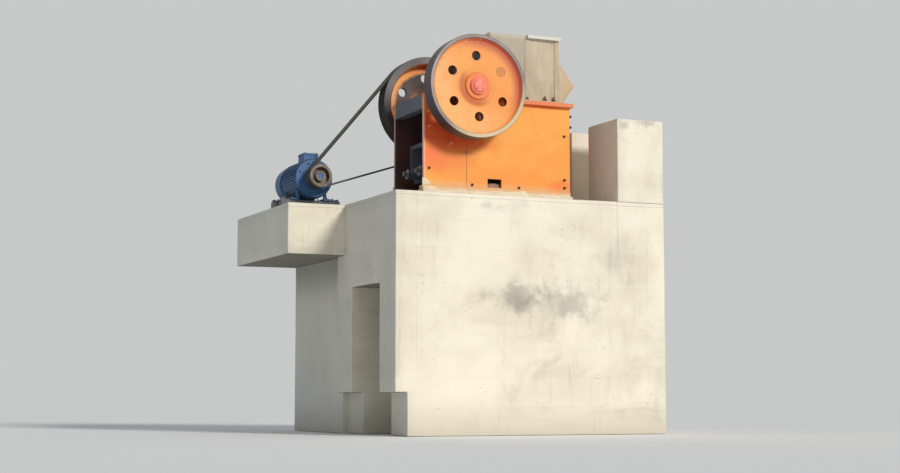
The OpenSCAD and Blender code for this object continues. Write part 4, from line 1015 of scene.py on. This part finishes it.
MOTOR_X, MOTOR_Z, MOTOR_FACE, RAIL_TOP = -2.105, 3.78, -0.0725, 3.465
FLANGE_BOLT_RING, BEARING_CAP_RING, CAP_FACE = 0.236, 0.13, MOTOR_FACE - 0.04
CABLE_BOX_TOP, BOX_SCREW_X, BOX_SCREW_YS = 4.18, 0.088, (0.105, 0.33)
RAIL_YS = (0.1375, 0.5175)
FOOT_BOLT_X, RAIL_BOLT_X, FOOT_OF_MOTOR = 0.262, 0.365, RAIL_TOP + 0.03
motor_bolts, rail_bolts = bmesh.new(), bmesh.new()
bolt_ring(motor_bolts, (MOTOR_X, MOTOR_FACE, MOTOR_Z), FLANGE_BOLT_RING, 8, -1, 0.024, thread=0.3)
bolt_ring(motor_bolts, (MOTOR_X, CAP_FACE, MOTOR_Z), BEARING_CAP_RING, 6, -1, 0.016, first=0)
for x in (-BOX_SCREW_X, BOX_SCREW_X):
    for y in BOX_SCREW_YS:
        bolt(motor_bolts, (MOTOR_X + x, y, CABLE_BOX_TOP), UP, 0.016, turn=x, thread=0.0)
for y in RAIL_YS:
    for way in (-1, 1):
        bolt(rail_bolts, (MOTOR_X + way * FOOT_BOLT_X, y, FOOT_OF_MOTOR), UP, 0.034, turn=y, thread=0.8)
        bolt(rail_bolts, (MOTOR_X + way * RAIL_BOLT_X, y, RAIL_TOP), UP, 0.034, turn=way * y, thread=0.7)
build(motor_bolts, "motor_bolts", motor_blue)
build(rail_bolts, "rail_bolts", dark_bolt)


# Feed hopper
# Bent and welded steel sheets guide the stone into the jaws. They were never painted: the
# inside is scoured bright, the outside is beige with dried dust that rain has streaked.

hopper_low, hopper_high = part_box("hopper_near_side")
SEAM_RAIL_X, EDGE_BAR_X = 0.615, 1.105
RAIL_LIP, LIP_THICKNESS, RAIL_OUT, RAIL_PAST_BAR = 0.046, 0.0085, 0.06, 0.06
HOPPER_MIDDLE = (0.7, middle_y, 5.1)
SHADE_PATCH_Z = 5.42

hopper_sheet, tree, shader, place = finish_of("dusty_hopper_sheet", "hopper_steel")
x, y, z = parts_of(place)
cloud = grain(place, 2.2, 7.0, 0.65, 0.4)
runs = grain(stretched(place, 9.0, 9.0, 0.9), 1.6, 6.0, 0.65, 0.3)
fine = grain(place, 42.0, 4.0, 0.7)
# The top rail's lip: bleached pale, with a painted highlight.
rail_bleach_and_highlight = times(fade(z, hopper_high.z - 0.07, hopper_high.z - 0.04),
                 fade(x, SEAM_RAIL_X - 0.01, SEAM_RAIL_X + 0.01, 0.25, 0.95))
normal = put(tree, "NewGeometry").outputs["Normal"]
inward = put(tree, "VectorMath", HOPPER_MIDDLE, place, operation="SUBTRACT").outputs[0]
facing_in = put(tree, "VectorMath", normal, inward, operation="DOT_PRODUCT").outputs[1]
inside = fade(facing_in, 0.0, 0.1)
outside = minus(1.0, inside)
rearward = parts_of(normal)[0]
scoured = times(inside, fade(z, 5.75, 5.15, 0.25, 0.95))
scratch = grain(stretched(place, 14.0, 14.0, 1.2), 3.0, 8.0, 0.75, 0.2)
# Painted shade: a near-black patch on outer faces that look to the rear end, between the wheels.
shade_between_wheels = times(patch(place, (hopper_low.x, middle_y, SHADE_PATCH_Z), (2.0, 0.42, 0.46), 0.4, 0.8),
                fade(rearward, -0.3, -0.6, 0.0, 0.93), outside)
colour = layered(
    (0.6, 0.495, 0.355),
    (fade(cloud, 0.36, 0.64), (0.5, 0.405, 0.285)),
    (fade(runs, 0.46, 0.66, 0.0, 0.55), (0.7, 0.6, 0.44)),
    (fade(runs, 0.46, 0.28, 0.0, 0.5), (0.36, 0.28, 0.19)),
    (fade(fine, 0.55, 0.8, 0.0, 0.3), (0.3, 0.215, 0.135)),
    (times(fade(x, SEAM_RAIL_X + 0.02, SEAM_RAIL_X - 0.06), 0.55), (0.44, 0.405, 0.345)),
    (times(fade(x, hopper_high.x - 0.3, hopper_high.x - 0.06), 0.6), (0.72, 0.47, 0.265)),
    (rail_bleach_and_highlight, (0.76, 0.73, 0.64)),
    # Painted light: outer faces that look to the rear end are lightened against their shade.
    (times(fade(rearward, -0.6, -0.9), outside), (0.86, 0.77, 0.6)),
    (scoured, (0.33, 0.3, 0.27)),
    (times(scoured, fade(scratch, 0.5, 0.66, 0.0, 0.8)), (0.58, 0.55, 0.51)),
    (use(tree, edge_wear, Reach=0.01, Breakup=8.0, Amount=0.75), (0.66, 0.62, 0.54)),
    (use(tree, settled_dust, Amount=0.7, Patches=3.0), (0.62, 0.545, 0.42)),
    (shade_between_wheels, (0.05, 0.042, 0.04)),
)
feed(shader, colour, fade(scoured, 0.0, 0.9, 0.86, 0.4), fade(scoured, 0.1, 0.9, 0.0, 0.75))
height = plus(times(fine, 0.3), times(scratch, inside, 0.6), cloud)
relief(shader, height, 0.4, 0.004)


def dented(node, swell=0.006, pitch=0.06, straight_below=4.93):
    """A side sheet's skin, cut fine and pushed out a little by the stone."""
    shape = own_copy(node)
    sliced(shape, node, pitch)
    for v in shape.verts:
        push = noise.fractal(Vector((v.co.x, 0.0, v.co.z)) * 2.3, 0.8, 2.0, 3)
        if v.co.z > straight_below:
            v.co.y -= math.copysign(swell * (push + 1.0) / 2, v.co.y - middle_y)
    return shape


for node in ("hopper_near_side", "hopper_far_side"):
    steelwork(node, hopper_sheet, 0.0015, segments=1, sharp=40, shape=dented(node), hardened=False)
for node in ("hopper_front_lip", "hopper_rear_sheet"):
    steelwork(node, hopper_sheet, 0.0015)

HOPPER_BOLT_AWAY, HOPPER_FOOT_TOP = 0.592, 4.887
HOPPER_BOLTS = ((0.909, 0.046, 0.85), (1.052, 0.046, 0.85), (0.335, 0.034, 0.5), (0.62, 0.034, 0.5))
HOPPER_WELDS = (   # X and Z of both ends, size
    (0.29, 4.888, 1.19, 4.888, 0.007),
    (1.212, 4.9, 1.4, 5.15, 0.006),
)
rust_red = bolt_finish("rusty_red_bolts", (0.15, 0.045, 0.028), (0.3, 0.085, 0.04))
hopper_bolts, hopper_welds, rail_lips = bmesh.new(), bmesh.new(), bmesh.new()
for side in (-1, 1):
    face_y = off(side, PLATE_FACE)
    for x, across, thread in HOPPER_BOLTS:
        spot = (x, off(side, HOPPER_BOLT_AWAY), HOPPER_FOOT_TOP)
        bolt(hopper_bolts, spot, UP, across, turn=x, thread=thread)
    for x in (SEAM_RAIL_X, EDGE_BAR_X):
        before = set(hopper_welds.verts)
        bead(hopper_welds, (x, face_y, hopper_low.z + 0.012), (x, face_y, hopper_high.z - 0.013), 0.03,
             lambda step, spot: 0.01 + 0.002 * noise.noise(spot * 9.0), sides=16)
        for v in set(hopper_welds.verts) - before:
            v.co.x = x + (v.co.x - x) * 2.8
    for start_x, start_z, end_x, end_z, size in HOPPER_WELDS:
        weld(hopper_welds, (start_x, face_y, start_z), (end_x, face_y, end_z), size)
    for v in bmesh.ops.create_cube(rail_lips, size=1.0)["verts"]:
        v.co.x = SEAM_RAIL_X if v.co.x < 0 else EDGE_BAR_X + RAIL_PAST_BAR
        v.co.y = off(side, PLATE_FACE + (RAIL_OUT if v.co.y * side > 0 else RAIL_OUT - LIP_THICKNESS))
        v.co.z = hopper_high.z - (0.0005 if v.co.z > 0 else RAIL_LIP)
build(hopper_bolts, "hopper_bolts", rust_red)
build(hopper_welds, "hopper_welds", hopper_sheet)
build(rail_lips, "hopper_rail_lips", hopper_sheet)


# Floor, light and camera
# A pale studio floor in a pale surround, and one soft lamp from the near side, above and
# a little to the feed end. The camera stands where the machine shows its open rear.

floor_material = bpy.data.materials.new("studio_floor")
floor_material.use_nodes = True
tree = floor_material.node_tree
feed(tree.nodes["Principled BSDF"], (0.93, 0.925, 0.915), 0.95, specular=0.0)
ground = bmesh.new()
bmesh.ops.create_grid(ground, x_segments=1, y_segments=1, size=300)
ground_mesh = bpy.data.meshes.new("studio_floor")
ground.to_mesh(ground_mesh)
ground.free()
ground_mesh.materials.append(floor_material)
floor = linked("studio_floor", ground_mesh)
floor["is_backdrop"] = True

world = bpy.data.worlds.new("studio")
bpy.context.scene.world = world
world.use_nodes = True
tree = world.node_tree
surround = tree.nodes["Background"]
ray = put(tree, "LightPath").outputs
seen = greatest(ray["Is Camera Ray"], ray["Is Glossy Ray"], ray["Is Transmission Ray"])
SKY_LIGHT, SKY_SEEN = (0.86, 0.93, 1.0), (0.572, 0.583, 0.58)
give(surround.inputs["Color"], layered(SKY_LIGHT, (seen, SKY_SEEN)))
give(surround.inputs["Strength"], fade(seen, 0.0, 1.0, 0.37, 1.0))

sun = bpy.data.lights.new("soft_key", "SUN")
sun.energy = 2.2
sun.angle = math.radians(13)
sun.color = (1.0, 0.965, 0.9)
key = linked("soft_key", sun)
key.rotation_mode = "QUATERNION"
key.rotation_quaternion = Vector((0.3, -0.86, 0.42)).to_track_quat("Z", "Y")

lens = bpy.data.cameras.new("camera")
lens.sensor_width = 36
lens.lens = 65
camera = linked("camera", lens)
camera.location = (-10.027, -22.8, 0.527)
camera.rotation_mode = "QUATERNION"
heading, pitch = math.radians(24.03), math.radians(5.67)
ahead = Vector((math.sin(heading) * math.cos(pitch), math.cos(heading) * math.cos(pitch), math.sin(pitch)))
camera.rotation_quaternion = ahead.to_track_quat("-Z", "Y")
bpy.context.scene.camera = camera

bpy.context.scene.view_settings.view_transform = "Standard"

low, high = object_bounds()
